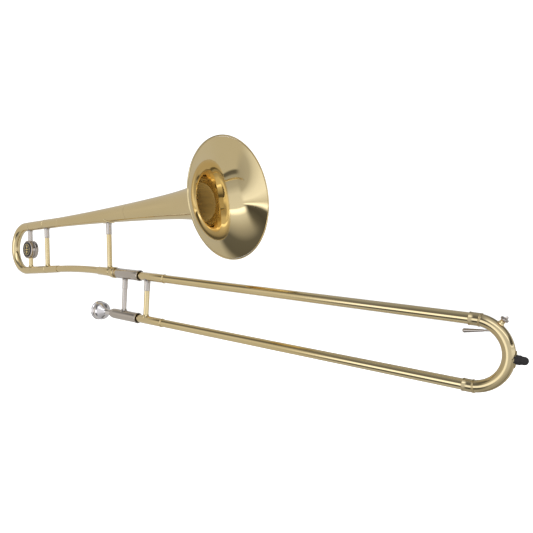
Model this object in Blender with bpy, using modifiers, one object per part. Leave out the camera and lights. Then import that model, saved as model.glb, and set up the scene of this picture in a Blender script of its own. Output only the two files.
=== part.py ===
"""Tenor trombone, built from its real pieces.

Metres, +Z up, +X from the mouthpiece towards the end bow. The origin is the middle of the inner
slide brace, where the left hand holds the instrument. The hand slide lies along X. The bell section
leans up from it by BELL_TILT and is modelled along its own axis, from the bend of the gooseneck.
"""

import math

import bmesh
import bpy
from mathutils import Matrix, Vector

# Hand slide
SLIDE_SPACING = 0.082
UPPER = SLIDE_SPACING / 2
LOWER = -SLIDE_SPACING / 2
OUTER_TUBE_RADIUS = 0.0073
OUTER_TUBE_BORE = 0.00695
INNER_TUBE_RADIUS = 0.0066
INNER_TUBE_BORE = 0.0062
STOCKING_RADIUS = 0.0068
STOCKING_LENGTH = 0.110
INNER_TUBE_START = -0.022
INNER_TUBE_END = 0.638
BARREL_FRONT = 0.0445
BARREL_BACK = -0.0289
RECEIVER_BACK = -0.0375
BARREL_RADIUS = 0.0099
BARREL_BORE = 0.0091
BARREL_FLOOR = -0.004
CORK_END = 0.0075
LEADPIPE = (-0.0005, 0.190)
OUTER_TUBE_START = 0.008
SLEEVE_START = 0.0095
SLEEVE_END = 0.114
SLEEVE_RADIUS = 0.00785
OUTER_BRACE_AT = 0.066
FERRULE_START = 0.6598
FERRULE_RADIUS = 0.00785
BOW_CENTRE = 0.668
BOW_START = BOW_CENTRE - 0.0015
BOW_RADIUS = SLIDE_SPACING / 2
BOW_TUBE_RADIUS = 0.0078
TUBE_WALL = 0.0006

# Bell section, along its own axis from the gooseneck's bend
BELL_TILT = math.radians(5.86)
ELBOW_BACK = 0.156
ELBOW_SPAN = 0.077
BELL_OFFSET = 0.103
GOOSENECK_RADIUS = 0.0072
GOOSENECK_FERRULE = (-0.086, -0.0462)
LOCK_NUT = (-0.0459, -0.0295)
LOCK_NUT_RADIUS = 0.011
BELL_RIM_AT = 0.4342
BELL_RIM_RADIUS = 0.1016
RIM_WIRE_RADIUS = 0.0013
BELL_SEAM_AT = 0.174
BELL_TAIL_AT = -0.066
BELL_WALL = 0.0006
FLARE_GAIN = 0.617
FLARE_SHIFT = 0.144
FLARE_POWER = 5.84
BELL_MIN_RADIUS = 0.00865
CONE_SLOPE = 0.047
CONE_FADE = 0.1095
CONE_START = 0.42
FRONT_BRACE_AT = 0.1059
REAR_BRACE_AT = -0.1232
TUNING_JOINT = -0.1290
UPPER_SLEEVE_RADIUS = 0.01065
LOWER_SLEEVE_RADIUS = 0.0083
LOWER_SLEEVE_END = -0.078
CROOK_CENTRE = -0.212
CROOK_JOINT = -0.1890
CROOK_RADII = (0.0083, 0.0102)
LOWER_LEG_RADIUS = 0.0073
UPPER_LEG_RADIUS = 0.0097
WEIGHT_AT = -0.1955
WEIGHT_HEIGHT = 0.0485
WEIGHT_RADIUS = 0.0208
WEIGHT_HALF = 0.0086
WEIGHT_GROOVE = 0.0005

# Mouthpiece
MOUTHPIECE_RIM_AT = -0.0835
MOUTHPIECE_RIM_RADIUS = 0.0196
MOUTHPIECE_END = -0.003

# End bow fittings
WATER_KEY_ANGLE = math.radians(54.5)
KEY_PIN_BACK = 0.0121
BUMPER_START = BOW_CENTRE + BOW_RADIUS + BOW_TUBE_RADIUS + 0.0015
BUMPER_END = BUMPER_START + 0.0122

GAP = 0.0003
STEPS = 16
FINE_STEPS = 32
PIPE_RESOLUTION = 6
MERGE = 0.00001
X_AXIS = Vector((1, 0, 0))
Y_AXIS = Vector((0, 1, 0))
Z_AXIS = Vector((0, 0, 1))


def clear_scene():
    for old in list(bpy.data.objects):
        bpy.data.objects.remove(old, do_unlink=True)


def new_collection(name):
    collection = bpy.data.collections.new(name)
    bpy.context.scene.collection.children.link(collection)
    return collection


def finish(name, colour, roughness, metallic):
    material = bpy.data.materials.new(name)
    material.use_nodes = True
    shader = material.node_tree.nodes["Principled BSDF"]
    shader.inputs["Base Color"].default_value = (*colour, 1)
    shader.inputs["Roughness"].default_value = roughness
    shader.inputs["Metallic"].default_value = metallic
    material.diffuse_color = (*colour, 1)
    return material


clear_scene()
PARTS = new_collection("trombone")
CUTTERS = new_collection("cutters")
LACQUER = finish("lacquered_brass", (0.72, 0.50, 0.22), 0.18, 1.0)
NICKEL = finish("nickel_silver", (0.55, 0.52, 0.47), 0.2, 1.0)
SILVER = finish("silver_plate", (0.80, 0.78, 0.75), 0.12, 1.0)
CHROME = finish("chromed_tube", (0.70, 0.70, 0.70), 0.08, 1.0)
RUBBER = finish("black_rubber", (0.02, 0.018, 0.018), 0.6, 0.0)
FELT = finish("cork_and_felt", (0.35, 0.22, 0.12), 0.9, 0.0)
ENAMEL = finish("black_enamel", (0.02, 0.02, 0.02), 0.25, 0.0)
STEEL = finish("spring_steel", (0.45, 0.46, 0.48), 0.3, 1.0)


def empty(name, location, parent=None, tilt=0.0):
    marker = bpy.data.objects.new(name, None)
    marker.location = location
    marker.rotation_euler = (0, -tilt, 0)
    marker.parent = parent
    PARTS.objects.link(marker)
    return marker


def place(item, material, parent, at=(0, 0, 0), along=Z_AXIS):
    """Links an object, gives it its material and parent, and turns its own Z to point along."""
    item.data.materials.append(material)
    item.parent = parent
    item.location = at
    item.rotation_euler = Z_AXIS.rotation_difference(Vector(along)).to_euler()
    PARTS.objects.link(item)
    return item


def shade(item):
    item.data.shade_smooth()
    item.data.set_sharp_from_angle(angle=math.radians(40))


def add_screw(item, steps):
    screw = item.modifiers.new("turn", "SCREW")
    screw.steps = steps
    screw.render_steps = steps
    screw.use_merge_vertices = True
    screw.merge_threshold = MERGE
    screw.use_smooth_shade = True


def outline_mesh(name, profile, closed):
    edges = [(i, i + 1) for i in range(len(profile) - 1)]
    if closed:
        edges.append((len(profile) - 1, 0))
    mesh = bpy.data.meshes.new(name)
    mesh.from_pydata([(radius, 0, distance) for radius, distance in profile], edges, [])
    return bpy.data.objects.new(name, mesh)


def turned(name, material, parent, outer, inner=(), at=(0, 0, 0), along=X_AXIS, steps=STEPS):
    """A turned piece. outer and inner are (distance, radius) points, both from back to front."""
    profile = [(radius, distance) for distance, radius in reversed(outer)]
    if inner:
        profile += [(radius, distance) for distance, radius in inner]
    else:
        profile = [(0, outer[-1][0])] + profile + [(0, outer[0][0])]
    item = outline_mesh(name, profile, bool(inner))
    add_screw(item, steps)
    return place(item, material, parent, at, along)


def sleeve(name, material, parent, start, end, radius, bore, **where):
    """A plain straight tube."""
    outer = [(start, radius), (end, radius)]
    inner = [(start, bore), (end, bore)]
    return turned(name, material, parent, outer, inner, **where)


def pipe(name, material, parent, points, radii, wall=None, sides=PIPE_RESOLUTION, at=(0, 0, 0), along=Z_AXIS):
    """A bent tube along points. With no wall it is solid, with capped ends."""
    data = bpy.data.curves.new(name, "CURVE")
    data.dimensions = "3D"
    data.bevel_depth = max(radii)
    data.bevel_resolution = sides
    data.use_fill_caps = wall is None
    line = data.splines.new("POLY")
    line.points.add(len(points) - 1)
    for point, place_at, radius in zip(line.points, points, radii):
        point.co = (*place_at, 1)
        point.radius = radius / data.bevel_depth
    item = bpy.data.objects.new(name, data)
    if wall is not None:
        solidify = item.modifiers.new("wall", "SOLIDIFY")
        solidify.thickness = wall
        solidify.offset = -1
        solidify.use_even_offset = True
    return place(item, material, parent, at, along)


def weld(mesh):
    """Joins a curve's caps to its sides and turns its faces outwards."""
    work = bmesh.new()
    work.from_mesh(mesh)
    bmesh.ops.remove_doubles(work, verts=work.verts, dist=MERGE)
    bmesh.ops.recalc_face_normals(work, faces=work.faces)
    work.to_mesh(mesh)
    work.free()


def to_mesh(item):
    """Replaces a curve object by its welded mesh, in the same place."""
    graph = bpy.context.evaluated_depsgraph_get()
    mesh = bpy.data.meshes.new_from_object(item.evaluated_get(graph))
    weld(mesh)
    name, parent = item.name, item.parent
    location, rotation = item.location.copy(), item.rotation_euler.copy()
    bpy.data.objects.remove(item, do_unlink=True)
    solid = bpy.data.objects.new(name, mesh)
    solid.parent = parent
    solid.location = location
    solid.rotation_euler = rotation
    PARTS.objects.link(solid)
    return solid


def as_tool(item):
    """Moves an object to the cutters, hidden from the build."""
    PARTS.objects.unlink(item)
    CUTTERS.objects.link(item)
    item.hide_render = True
    item.display_type = "WIRE"
    return item


def combine(target, tool, operation):
    modifier = target.modifiers.new(operation.lower(), "BOOLEAN")
    modifier.operation = operation
    modifier.object = as_tool(tool)
    modifier.solver = "EXACT"


def plate(name, material, parent, corners, thickness, at=(0, 0, 0), along=Z_AXIS):
    """A flat outline, extruded evenly to both sides of its own plane."""
    data = bpy.data.curves.new(name, "CURVE")
    data.dimensions = "2D"
    data.fill_mode = "BOTH"
    data.extrude = thickness / 2
    line = data.splines.new("POLY")
    line.use_cyclic_u = True
    line.points.add(len(corners) - 1)
    for point, (x, y) in zip(line.points, corners):
        point.co = (x, y, 0, 1)
    return to_mesh(place(bpy.data.objects.new(name, data), material, parent, at, along))


def arc(centre, radius, start, end, count):
    """Points of an arc in the XZ plane; the angle runs from +X towards +Z."""
    for i in range(count + 1):
        angle = start + (end - start) * i / count
        yield Vector((centre[0] + radius * math.cos(angle), 0, centre[1] + radius * math.sin(angle)))


def bell_radius(station):
    """The bell's outer radius: a cone that fades in along the stem, and a steep flare at the rim."""
    depth = BELL_RIM_AT - station
    flare = FLARE_GAIN * ((depth + FLARE_SHIFT) / 0.1) ** -FLARE_POWER
    cone = CONE_SLOPE * CONE_FADE * math.log1p(math.exp((CONE_START - depth) / CONE_FADE))
    return BELL_MIN_RADIUS + flare + cone


def shell(name, material, parent, outline, wall, at=(0, 0, 0), along=X_AXIS, steps=FINE_STEPS):
    """A turned open wall of even thickness. outline is (distance, radius) from back to front."""
    item = outline_mesh(name, [(radius, distance) for distance, radius in reversed(outline)], False)
    add_screw(item, steps)
    solidify = item.modifiers.new("wall", "SOLIDIFY")
    solidify.thickness = wall
    solidify.offset = -1
    solidify.use_even_offset = True
    return place(item, material, parent, at, along)


def brace(name, material, parent, start, end, radius, foot, at=(0, 0, 0), foot_up=False):
    """A brace tube along Z with a flared foot of this width at its top or at its bottom."""
    waist, reach = radius + foot * 0.35, radius + foot
    if foot_up:
        outline = [(start, radius), (end - foot * 1.2, radius), (end - foot * 0.4, waist), (end, reach)]
    else:
        outline = [(start, reach), (start + foot * 0.4, waist), (start + foot * 1.2, radius), (end, radius)]
    return turned(name, material, parent, outline, at=at, along=Z_AXIS, steps=12)


# Empties on the joint axes
SLIDE_FRAME = empty("slide_frame", (0, 0, 0))
OUTER_FRAME = empty("outer_slide_axis", (0, 0, 0))
KEY_OUT = Vector((math.cos(WATER_KEY_ANGLE), 0, math.sin(WATER_KEY_ANGLE)))
KEY_ALONG = Vector((-math.sin(WATER_KEY_ANGLE), 0, math.cos(WATER_KEY_ANGLE)))
KEY_SEAT = Vector((BOW_CENTRE, 0, 0)) + KEY_OUT * BOW_RADIUS
KEY_PIN = KEY_SEAT + Y_AXIS * KEY_PIN_BACK
KEY_FRAME = empty("water_key_axis", KEY_PIN, OUTER_FRAME)
SWIVEL_FRAME = empty("bell_swivel_axis", (BARREL_BACK, 0, UPPER))
NUT_FRAME = empty("lock_nut_axis", (0, 0, 0), SWIVEL_FRAME)
BELL_FRAME = empty("bell_axis", (-ELBOW_BACK - BARREL_BACK, 0, 0), SWIVEL_FRAME, BELL_TILT)
TUNING_FRAME = empty("tuning_slide_axis", (0, 0, 0), BELL_FRAME)
MOUTHPIECE_FRAME = empty("mouthpiece_axis", (0, 0, LOWER))


def along_slide(station):
    """A station of the hand slide, in the swivel empty's coordinates."""
    return station - BARREL_BACK


def build_inner_slide():
    for side, height in (("upper", UPPER), ("lower", LOWER)):
        at = (0, 0, height)
        sleeve(
            f"{side}_inner_tube",
            CHROME,
            SLIDE_FRAME,
            INNER_TUBE_START,
            INNER_TUBE_END,
            INNER_TUBE_RADIUS,
            INNER_TUBE_BORE,
            at=at,
        )
        sleeve(
            f"{side}_stocking",
            CHROME,
            SLIDE_FRAME,
            INNER_TUBE_END - STOCKING_LENGTH,
            INNER_TUBE_END,
            STOCKING_RADIUS,
            INNER_TUBE_RADIUS + 0.00004,
            at=at,
        )
        sleeve(
            f"{side}_cork",
            FELT,
            SLIDE_FRAME,
            BARREL_FLOOR + GAP,
            CORK_END,
            BARREL_BORE - GAP,
            INNER_TUBE_RADIUS + GAP,
            at=at,
        )
    boss = INNER_TUBE_RADIUS + 0.0001
    bead = BARREL_RADIUS + 0.0007
    front = [(BARREL_FRONT - 0.004, BARREL_RADIUS), (BARREL_FRONT - 0.0035, bead), (BARREL_FRONT, bead)]
    cavity = [(BARREL_FLOOR, boss), (BARREL_FLOOR, BARREL_BORE), (BARREL_FRONT, BARREL_BORE)]
    turned(
        "upper_cork_barrel",
        NICKEL,
        SLIDE_FRAME,
        [(BARREL_BACK, BARREL_RADIUS - 0.0004), (BARREL_BACK + 0.001, BARREL_RADIUS)] + front,
        [(BARREL_BACK, 0.0083), (-0.0225, 0.0083), (-0.0225, boss)] + cavity,
        at=(0, 0, UPPER),
    )
    turned(
        "slide_receiver",
        NICKEL,
        SLIDE_FRAME,
        [(-0.0433, 0.0093), (BARREL_BACK - GAP, 0.0093), (BARREL_BACK - GAP, 0.0080), (-0.0228, 0.0080)],
        [(-0.0433, 0.0078), (-0.0228, 0.0071)],
        at=(0, 0, UPPER),
    )
    turned(
        "lower_cork_barrel",
        NICKEL,
        SLIDE_FRAME,
        [(RECEIVER_BACK, 0.0072), (-0.0355, 0.0087), (-0.0320, 0.0094), (-0.0260, BARREL_RADIUS)] + front,
        [(RECEIVER_BACK, 0.0064), (-0.0225, 0.0063), (-0.0225, boss)] + cavity,
        at=(0, 0, LOWER),
    )
    sleeve("leadpipe", LACQUER, SLIDE_FRAME, *LEADPIPE, INNER_TUBE_BORE - 0.00015, 0.0053, at=(0, 0, LOWER))
    ferrule_low = UPPER - 0.0295
    reach = BARREL_RADIUS + GAP
    high = UPPER - reach
    brace("inner_brace_ferrule", NICKEL, SLIDE_FRAME, ferrule_low, high, 0.0050, 0.0012, foot_up=True)
    brace("inner_brace_tube", NICKEL, SLIDE_FRAME, LOWER + reach, ferrule_low - GAP, 0.0043, 0.0026)


def build_outer_slide():
    for side, height in (("upper", UPPER), ("lower", LOWER)):
        at = (0, 0, height)
        tube_end = BOW_START - GAP
        sleeve(
            f"{side}_outer_tube",
            LACQUER,
            OUTER_FRAME,
            OUTER_TUBE_START,
            tube_end,
            OUTER_TUBE_RADIUS,
            OUTER_TUBE_BORE,
            at=at,
        )
        bore = OUTER_TUBE_RADIUS + 0.00005
        ring = SLEEVE_RADIUS + 0.0006
        turned(
            f"{side}_slide_sleeve",
            LACQUER,
            OUTER_FRAME,
            [
                (SLEEVE_START, SLEEVE_RADIUS),
                (SLEEVE_END - 0.0022, SLEEVE_RADIUS),
                (SLEEVE_END - 0.0016, ring),
                (SLEEVE_END - 0.0006, ring),
                (SLEEVE_END, SLEEVE_RADIUS),
            ],
            [(SLEEVE_START, bore), (SLEEVE_END, bore)],
            at=at,
        )
        bead = FERRULE_RADIUS + 0.0003
        turned(
            f"{side}_bow_ferrule",
            LACQUER,
            OUTER_FRAME,
            [
                (FERRULE_START, FERRULE_RADIUS),
                (FERRULE_START + 0.0004, bead),
                (FERRULE_START + 0.0014, bead),
                (FERRULE_START + 0.0018, FERRULE_RADIUS),
                (tube_end, FERRULE_RADIUS),
            ],
            [(FERRULE_START, bore), (tube_end, bore)],
            at=at,
        )
    turn = list(arc((BOW_CENTRE, 0), BOW_RADIUS, -math.pi / 2, math.pi / 2, 12))
    bow_points = [Vector((BOW_START, 0, LOWER))] + turn + [Vector((BOW_START, 0, UPPER))]
    pipe("end_bow", LACQUER, OUTER_FRAME, bow_points, [BOW_TUBE_RADIUS] * len(bow_points), TUBE_WALL)
    reach = SLEEVE_RADIUS + GAP
    ferrule_low = UPPER - 0.0265
    at = (OUTER_BRACE_AT, 0, 0)
    brace("outer_brace_ferrule", NICKEL, OUTER_FRAME, ferrule_low, UPPER - reach, 0.0052, 0.0010, at, True)
    brace("outer_brace_tube", LACQUER, OUTER_FRAME, LOWER + reach, ferrule_low - GAP, 0.0047, 0.0024, at)


def build_bow_guard():
    """A diamond cut from a shell that follows the bow's outside, and the rubber tip on it."""
    guard_radius = BOW_TUBE_RADIUS + 0.0011
    spread = math.radians(18)
    strip = list(arc((BOW_CENTRE, 0), BOW_RADIUS, -spread, spread, 6))
    guard = to_mesh(pipe("bow_guard", LACQUER, OUTER_FRAME, strip, [guard_radius] * len(strip), 0.0008, 10))
    outline = [(-0.0105, 0), (0, -0.0066), (0.0105, 0), (0, 0.0066)]
    reach = 0.012
    middle = BOW_CENTRE + BOW_RADIUS + BOW_TUBE_RADIUS
    diamond = plate("guard_outline", LACQUER, OUTER_FRAME, outline, reach, (middle, 0, 0), X_AXIS)
    combine(guard, diamond, "INTERSECT")
    turned(
        "rubber_bumper",
        RUBBER,
        OUTER_FRAME,
        [
            (BUMPER_START, 0.0050),
            (BUMPER_START + 0.0010, 0.0058),
            (BUMPER_START + 0.0035, 0.0058),
            (BUMPER_START + 0.0050, 0.0052),
            (BUMPER_END - 0.0012, 0.0047),
            (BUMPER_END, 0.0036),
        ],
        steps=16,
    )


def key_point(out, back, along=0.0):
    """A place near the water key, measured from its pin: outwards from the bow, towards +Y, along the bow."""
    return KEY_OUT * out + Y_AXIS * back + KEY_ALONG * along


def build_water_key():
    surface = BOW_TUBE_RADIUS + GAP
    nipple_end = BOW_TUBE_RADIUS + 0.0045
    turned(
        "water_key_nipple",
        LACQUER,
        OUTER_FRAME,
        [(surface, 0.0042), (surface + 0.001, 0.0032), (nipple_end, 0.0029)],
        [(surface, 0.0016), (nipple_end, 0.0016)],
        at=KEY_SEAT,
        along=KEY_OUT,
        steps=14,
    )
    build_key_saddle(surface)
    build_key_lever()
    cork_start = nipple_end + 0.0001
    cork_end = cork_start + 0.0016
    over_nipple = -Y_AXIS * KEY_PIN_BACK
    turned(
        "water_key_cork",
        FELT,
        KEY_FRAME,
        [(cork_start, 0.0036), (cork_end, 0.0036)],
        [(cork_start, 0.0004), (cork_end, 0.0004)],
        at=over_nipple,
        along=KEY_OUT,
        steps=14,
    )
    cup_start, cup_floor, cup_end = cork_start + 0.0006, cork_end + GAP, cork_start + 0.0034
    turned(
        "water_key_cup",
        NICKEL,
        KEY_FRAME,
        [(cup_start, 0.0050), (cup_end - 0.0006, 0.0050), (cup_end, 0.0042)],
        [(cup_start, 0.0039), (cup_floor, 0.0039), (cup_floor, 0.0006), (cup_end, 0.0006)],
        at=over_nipple,
        along=KEY_OUT,
        steps=18,
    )


def build_key_saddle(surface):
    """Two ears on a small base, the pin through them, and the return spring on the pin."""
    base = surface + 0.0001
    ear_top = KEY_PIN_BACK + 0.0022
    inside, outside = 0.0047, 0.0060
    outline = [
        (-outside, base),
        (outside, base),
        (outside, ear_top),
        (inside, ear_top),
        (inside, base + 0.0009),
        (-inside, base + 0.0009),
        (-inside, ear_top),
        (-outside, ear_top),
    ]
    saddle = plate("water_key_saddle", LACQUER, OUTER_FRAME, outline, 0.0040, KEY_SEAT, KEY_OUT)
    saddle.rotation_euler = saddle_rotation()
    drill = [(-0.008, 0.0013), (0.008, 0.0013)]
    hole = turned("saddle_hole", STEEL, OUTER_FRAME, drill, at=KEY_PIN, along=KEY_ALONG, steps=12)
    combine(saddle, hole, "DIFFERENCE")
    shank, head = 0.0011, outside + GAP
    turned(
        "water_key_screw",
        STEEL,
        OUTER_FRAME,
        [(-outside - 0.0004, shank), (head, shank), (head, 0.0021), (head + 0.0009, 0.0021)],
        at=KEY_PIN,
        along=KEY_ALONG,
        steps=12,
    )
    coil = list(helix(0.0019, 0.0018, 0.0009, 2.5, 20))
    pipe("water_key_spring", STEEL, OUTER_FRAME, coil, [0.00028] * len(coil), None, 1, KEY_PIN, KEY_ALONG)


def helix(radius, start, pitch, turns, count):
    """Points of a coil round Z that begins at this height."""
    for i in range(count + 1):
        turned_by = turns * i / count
        angle = 2 * math.pi * turned_by
        yield Vector((radius * math.cos(angle), radius * math.sin(angle), start + pitch * turned_by))


def saddle_rotation():
    """Turns a flat outline so that its X runs along the bow and its Y points away from the viewer."""
    across = KEY_ALONG.cross(Y_AXIS)
    return Matrix((KEY_ALONG, Y_AXIS, across)).transposed().to_euler()


def build_key_lever():
    """One bent rod from over the cup, past the pin, to the finger touch inside the bow."""
    touch = Vector((0.652, KEY_PIN_BACK + 0.0006, 0.0240)) - KEY_PIN
    points = [
        key_point(0.0173, -KEY_PIN_BACK),
        key_point(0.0172, -0.0070),
        key_point(0.0150, -0.0015),
        key_point(0.0110, 0.0),
        key_point(0.0, 0.0),
        key_point(-0.0060, 0.0),
        touch + Vector((0.030, 0, 0.0040)),
        touch,
    ]
    lever = to_mesh(pipe("water_key_lever", NICKEL, KEY_FRAME, points, [0.0013] * len(points), None, 3))
    barrel = [(-0.0043, 0.0023), (0.0013, 0.0023)]
    hub = turned("lever_hub", NICKEL, KEY_FRAME, barrel, along=KEY_ALONG, steps=14)
    combine(lever, hub, "UNION")
    half_width, half_height, corners = 0.0042, 0.0028, 12
    turns = [2 * math.pi * i / corners for i in range(corners)]
    oval = [(half_width * math.cos(angle), half_height * math.sin(angle)) for angle in turns]
    pad = plate("lever_touch", NICKEL, KEY_FRAME, oval, 0.0020, touch, Y_AXIS)
    combine(lever, pad, "UNION")
    drill = [(-0.0060, 0.0013), (0.0060, 0.0013)]
    bore = turned("lever_bore", STEEL, KEY_FRAME, drill, along=KEY_ALONG, steps=12)
    combine(lever, bore, "DIFFERENCE")


def leg_point(station, height):
    """A place of the bell section, given along its own axis, in the swivel empty's coordinates."""
    x = along_slide(-ELBOW_BACK) + station * math.cos(BELL_TILT) - height * math.sin(BELL_TILT)
    z = station * math.sin(BELL_TILT) + height * math.cos(BELL_TILT)
    return Vector((x, 0, z))


def build_gooseneck():
    """Straight behind, a long shallow bend, then straight along the hand slide to the lock nut."""
    points = [leg_point(LOWER_SLEEVE_END - 0.0008, 0)]
    count = 6
    for i in range(count + 1):
        part = i / count
        back = leg_point(-ELBOW_SPAN * (1 - part), 0)
        fore = Vector((along_slide(-ELBOW_BACK + ELBOW_SPAN * part), 0, 0))
        points.append(back.lerp(fore, part))
    points.append(Vector((along_slide(-0.0475), 0, 0)))
    pipe("gooseneck", LACQUER, SWIVEL_FRAME, points, [GOOSENECK_RADIUS] * len(points), TUBE_WALL)
    start, end = (along_slide(station) for station in GOOSENECK_FERRULE)
    bore = GOOSENECK_RADIUS + 0.0004
    turned(
        "gooseneck_ferrule",
        LACQUER,
        SWIVEL_FRAME,
        [(start, 0.0081), (start + 0.001, 0.0084), (end - 0.001, 0.0088), (end, 0.0086)],
        [(start, bore), (end, bore)],
    )
    shoulder = [(-0.0446, 0.0077), (-0.0446, 0.0090), (-0.0436, 0.0090), (-0.0436, 0.0074)]
    outer = [(-0.0459, 0.0077)] + shoulder + [(-0.0240, 0.0067)]
    turned(
        "gooseneck_tenon",
        NICKEL,
        SWIVEL_FRAME,
        [(along_slide(station), radius) for station, radius in outer],
        [(along_slide(-0.0459), 0.0062), (along_slide(-0.0240), 0.0061)],
    )


def build_lock_nut():
    """A captive threaded collar: its back lip holds it behind the tenon's shoulder."""
    back, front = (along_slide(station) for station in LOCK_NUT)
    flare_end = front - 0.0085
    turned(
        "bell_lock_nut",
        LACQUER,
        NUT_FRAME,
        [
            (back, 0.0088),
            (back + 0.0015, 0.0090),
            (flare_end - 0.0010, LOCK_NUT_RADIUS - 0.0002),
            (flare_end, LOCK_NUT_RADIUS),
            (front - 0.0006, LOCK_NUT_RADIUS),
            (front, LOCK_NUT_RADIUS - 0.0004),
        ],
        [(back, 0.0080), (back + 0.0010, 0.0080), (back + 0.0010, 0.0096), (front, 0.0096)],
    )


def bell_outline(first, last, count, crowd=1.0):
    """Stations and outer radii between two stations, closer together near the last one."""
    for i in range(count + 1):
        station = last - (last - first) * (1 - i / count) ** crowd
        yield station, bell_radius(station)


def build_bell():
    at = (0, 0, BELL_OFFSET)
    tail = [(BELL_TAIL_AT - 0.008, 0.0097), (BELL_TAIL_AT - 0.0001, 0.0097)]
    stem = tail + list(bell_outline(BELL_TAIL_AT, BELL_SEAM_AT - GAP, 5))
    shell("bell_stem", LACQUER, BELL_FRAME, stem, BELL_WALL, at)
    flare = list(bell_outline(BELL_SEAM_AT, BELL_RIM_AT - 0.0010, 12, 1.9))
    shell("bell_flare", LACQUER, BELL_FRAME, flare, BELL_WALL, at)
    bpy.ops.mesh.primitive_torus_add(
        major_segments=FINE_STEPS,
        minor_segments=8,
        major_radius=BELL_RIM_RADIUS - RIM_WIRE_RADIUS,
        minor_radius=RIM_WIRE_RADIUS,
    )
    ring = bpy.context.object
    ring.name = "bell_rim_wire"
    for holder in list(ring.users_collection):
        holder.objects.unlink(ring)
    shade(ring)
    place(ring, LACQUER, BELL_FRAME, (BELL_RIM_AT - 0.0004, 0, BELL_OFFSET), X_AXIS)
    sleeve(
        "upper_tuning_receiver",
        LACQUER,
        BELL_FRAME,
        TUNING_JOINT,
        BELL_TAIL_AT - GAP,
        UPPER_SLEEVE_RADIUS,
        0.0100,
        at=at,
        steps=FINE_STEPS,
    )
    turned(
        "lower_tuning_receiver",
        LACQUER,
        BELL_FRAME,
        [
            (TUNING_JOINT, LOWER_SLEEVE_RADIUS),
            (TUNING_JOINT + 0.012, LOWER_SLEEVE_RADIUS),
            (LOWER_SLEEVE_END, 0.0079),
        ],
        [(TUNING_JOINT, 0.00745), (LOWER_SLEEVE_END, 0.00745)],
    )


def build_bell_braces():
    """Two braces between the bell and the lower leg, each with a nickel ferrule above."""
    low = LOWER_SLEEVE_RADIUS + GAP
    high = BELL_OFFSET - UPPER_SLEEVE_RADIUS - GAP
    split = high - 0.0210
    at = (REAR_BRACE_AT, 0, 0)
    brace("rear_brace_ferrule", NICKEL, BELL_FRAME, split + GAP, high, 0.0051, 0.0009, at, True)
    brace("rear_brace_tube", LACQUER, BELL_FRAME, low, split, 0.0047, 0.0012, at)
    drop = FRONT_BRACE_AT * math.tan(BELL_TILT)
    low = 0.0088 + 0.0010 - drop
    high = BELL_OFFSET - bell_radius(FRONT_BRACE_AT) - 0.0022
    split = high - 0.0215
    at = (FRONT_BRACE_AT, 0, 0)
    brace("front_brace_ferrule", NICKEL, BELL_FRAME, split + GAP, high, 0.0050, 0.0010, at, True)
    brace("front_brace_tube", LACQUER, BELL_FRAME, low, split, 0.0046, 0.0008, at)
    build_brace_patch()


def build_brace_patch():
    """The pointed plate soldered under the bell stem, which the front brace ends on."""
    reach = 0.020
    outline = [(s, r + 0.0012) for s, r in bell_outline(FRONT_BRACE_AT - reach, FRONT_BRACE_AT + reach, 2)]
    patch = shell("brace_patch", LACQUER, BELL_FRAME, outline, 0.0008, (0, 0, BELL_OFFSET))
    corners = [(-0.0165, 0), (0, -0.0080), (0.0165, 0), (0, 0.0080)]
    place_at = (FRONT_BRACE_AT, 0, BELL_OFFSET - 0.0125)
    combine(patch, plate("patch_outline", LACQUER, BELL_FRAME, corners, 0.0130, place_at), "INTERSECT")


def build_tuning_slide():
    start, end = CROOK_CENTRE, CROOK_JOINT
    middle = (start, BELL_OFFSET / 2)
    turn = list(arc(middle, BELL_OFFSET / 2, -math.pi / 2, -3 * math.pi / 2, 12))
    points = [Vector((end, 0, 0))] + turn + [Vector((end, 0, BELL_OFFSET))]
    last = len(points) - 1
    radii = [CROOK_RADII[0] + (CROOK_RADII[1] - CROOK_RADII[0]) * i / last for i in range(last + 1)]
    pipe("tuning_crook", LACQUER, TUNING_FRAME, points, radii, TUBE_WALL)
    front, leg_front = TUNING_JOINT - GAP, LOWER_SLEEVE_END - 0.0020
    for side, height, radius, leg, steps in (
        ("lower", 0, CROOK_RADII[0] + 0.0001, LOWER_LEG_RADIUS, STEPS),
        ("upper", BELL_OFFSET, CROOK_RADII[1] + 0.0001, UPPER_LEG_RADIUS, FINE_STEPS),
    ):
        where = {"at": (0, 0, height), "steps": steps}
        bore = leg + 0.0001
        sleeve(f"{side}_crook_ferrule", LACQUER, TUNING_FRAME, end + GAP, front, radius, bore, **where)
        bore = leg - TUBE_WALL
        sleeve(f"{side}_tuning_leg", NICKEL, TUNING_FRAME, end + 0.020, leg_front, leg, bore, **where)


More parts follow.
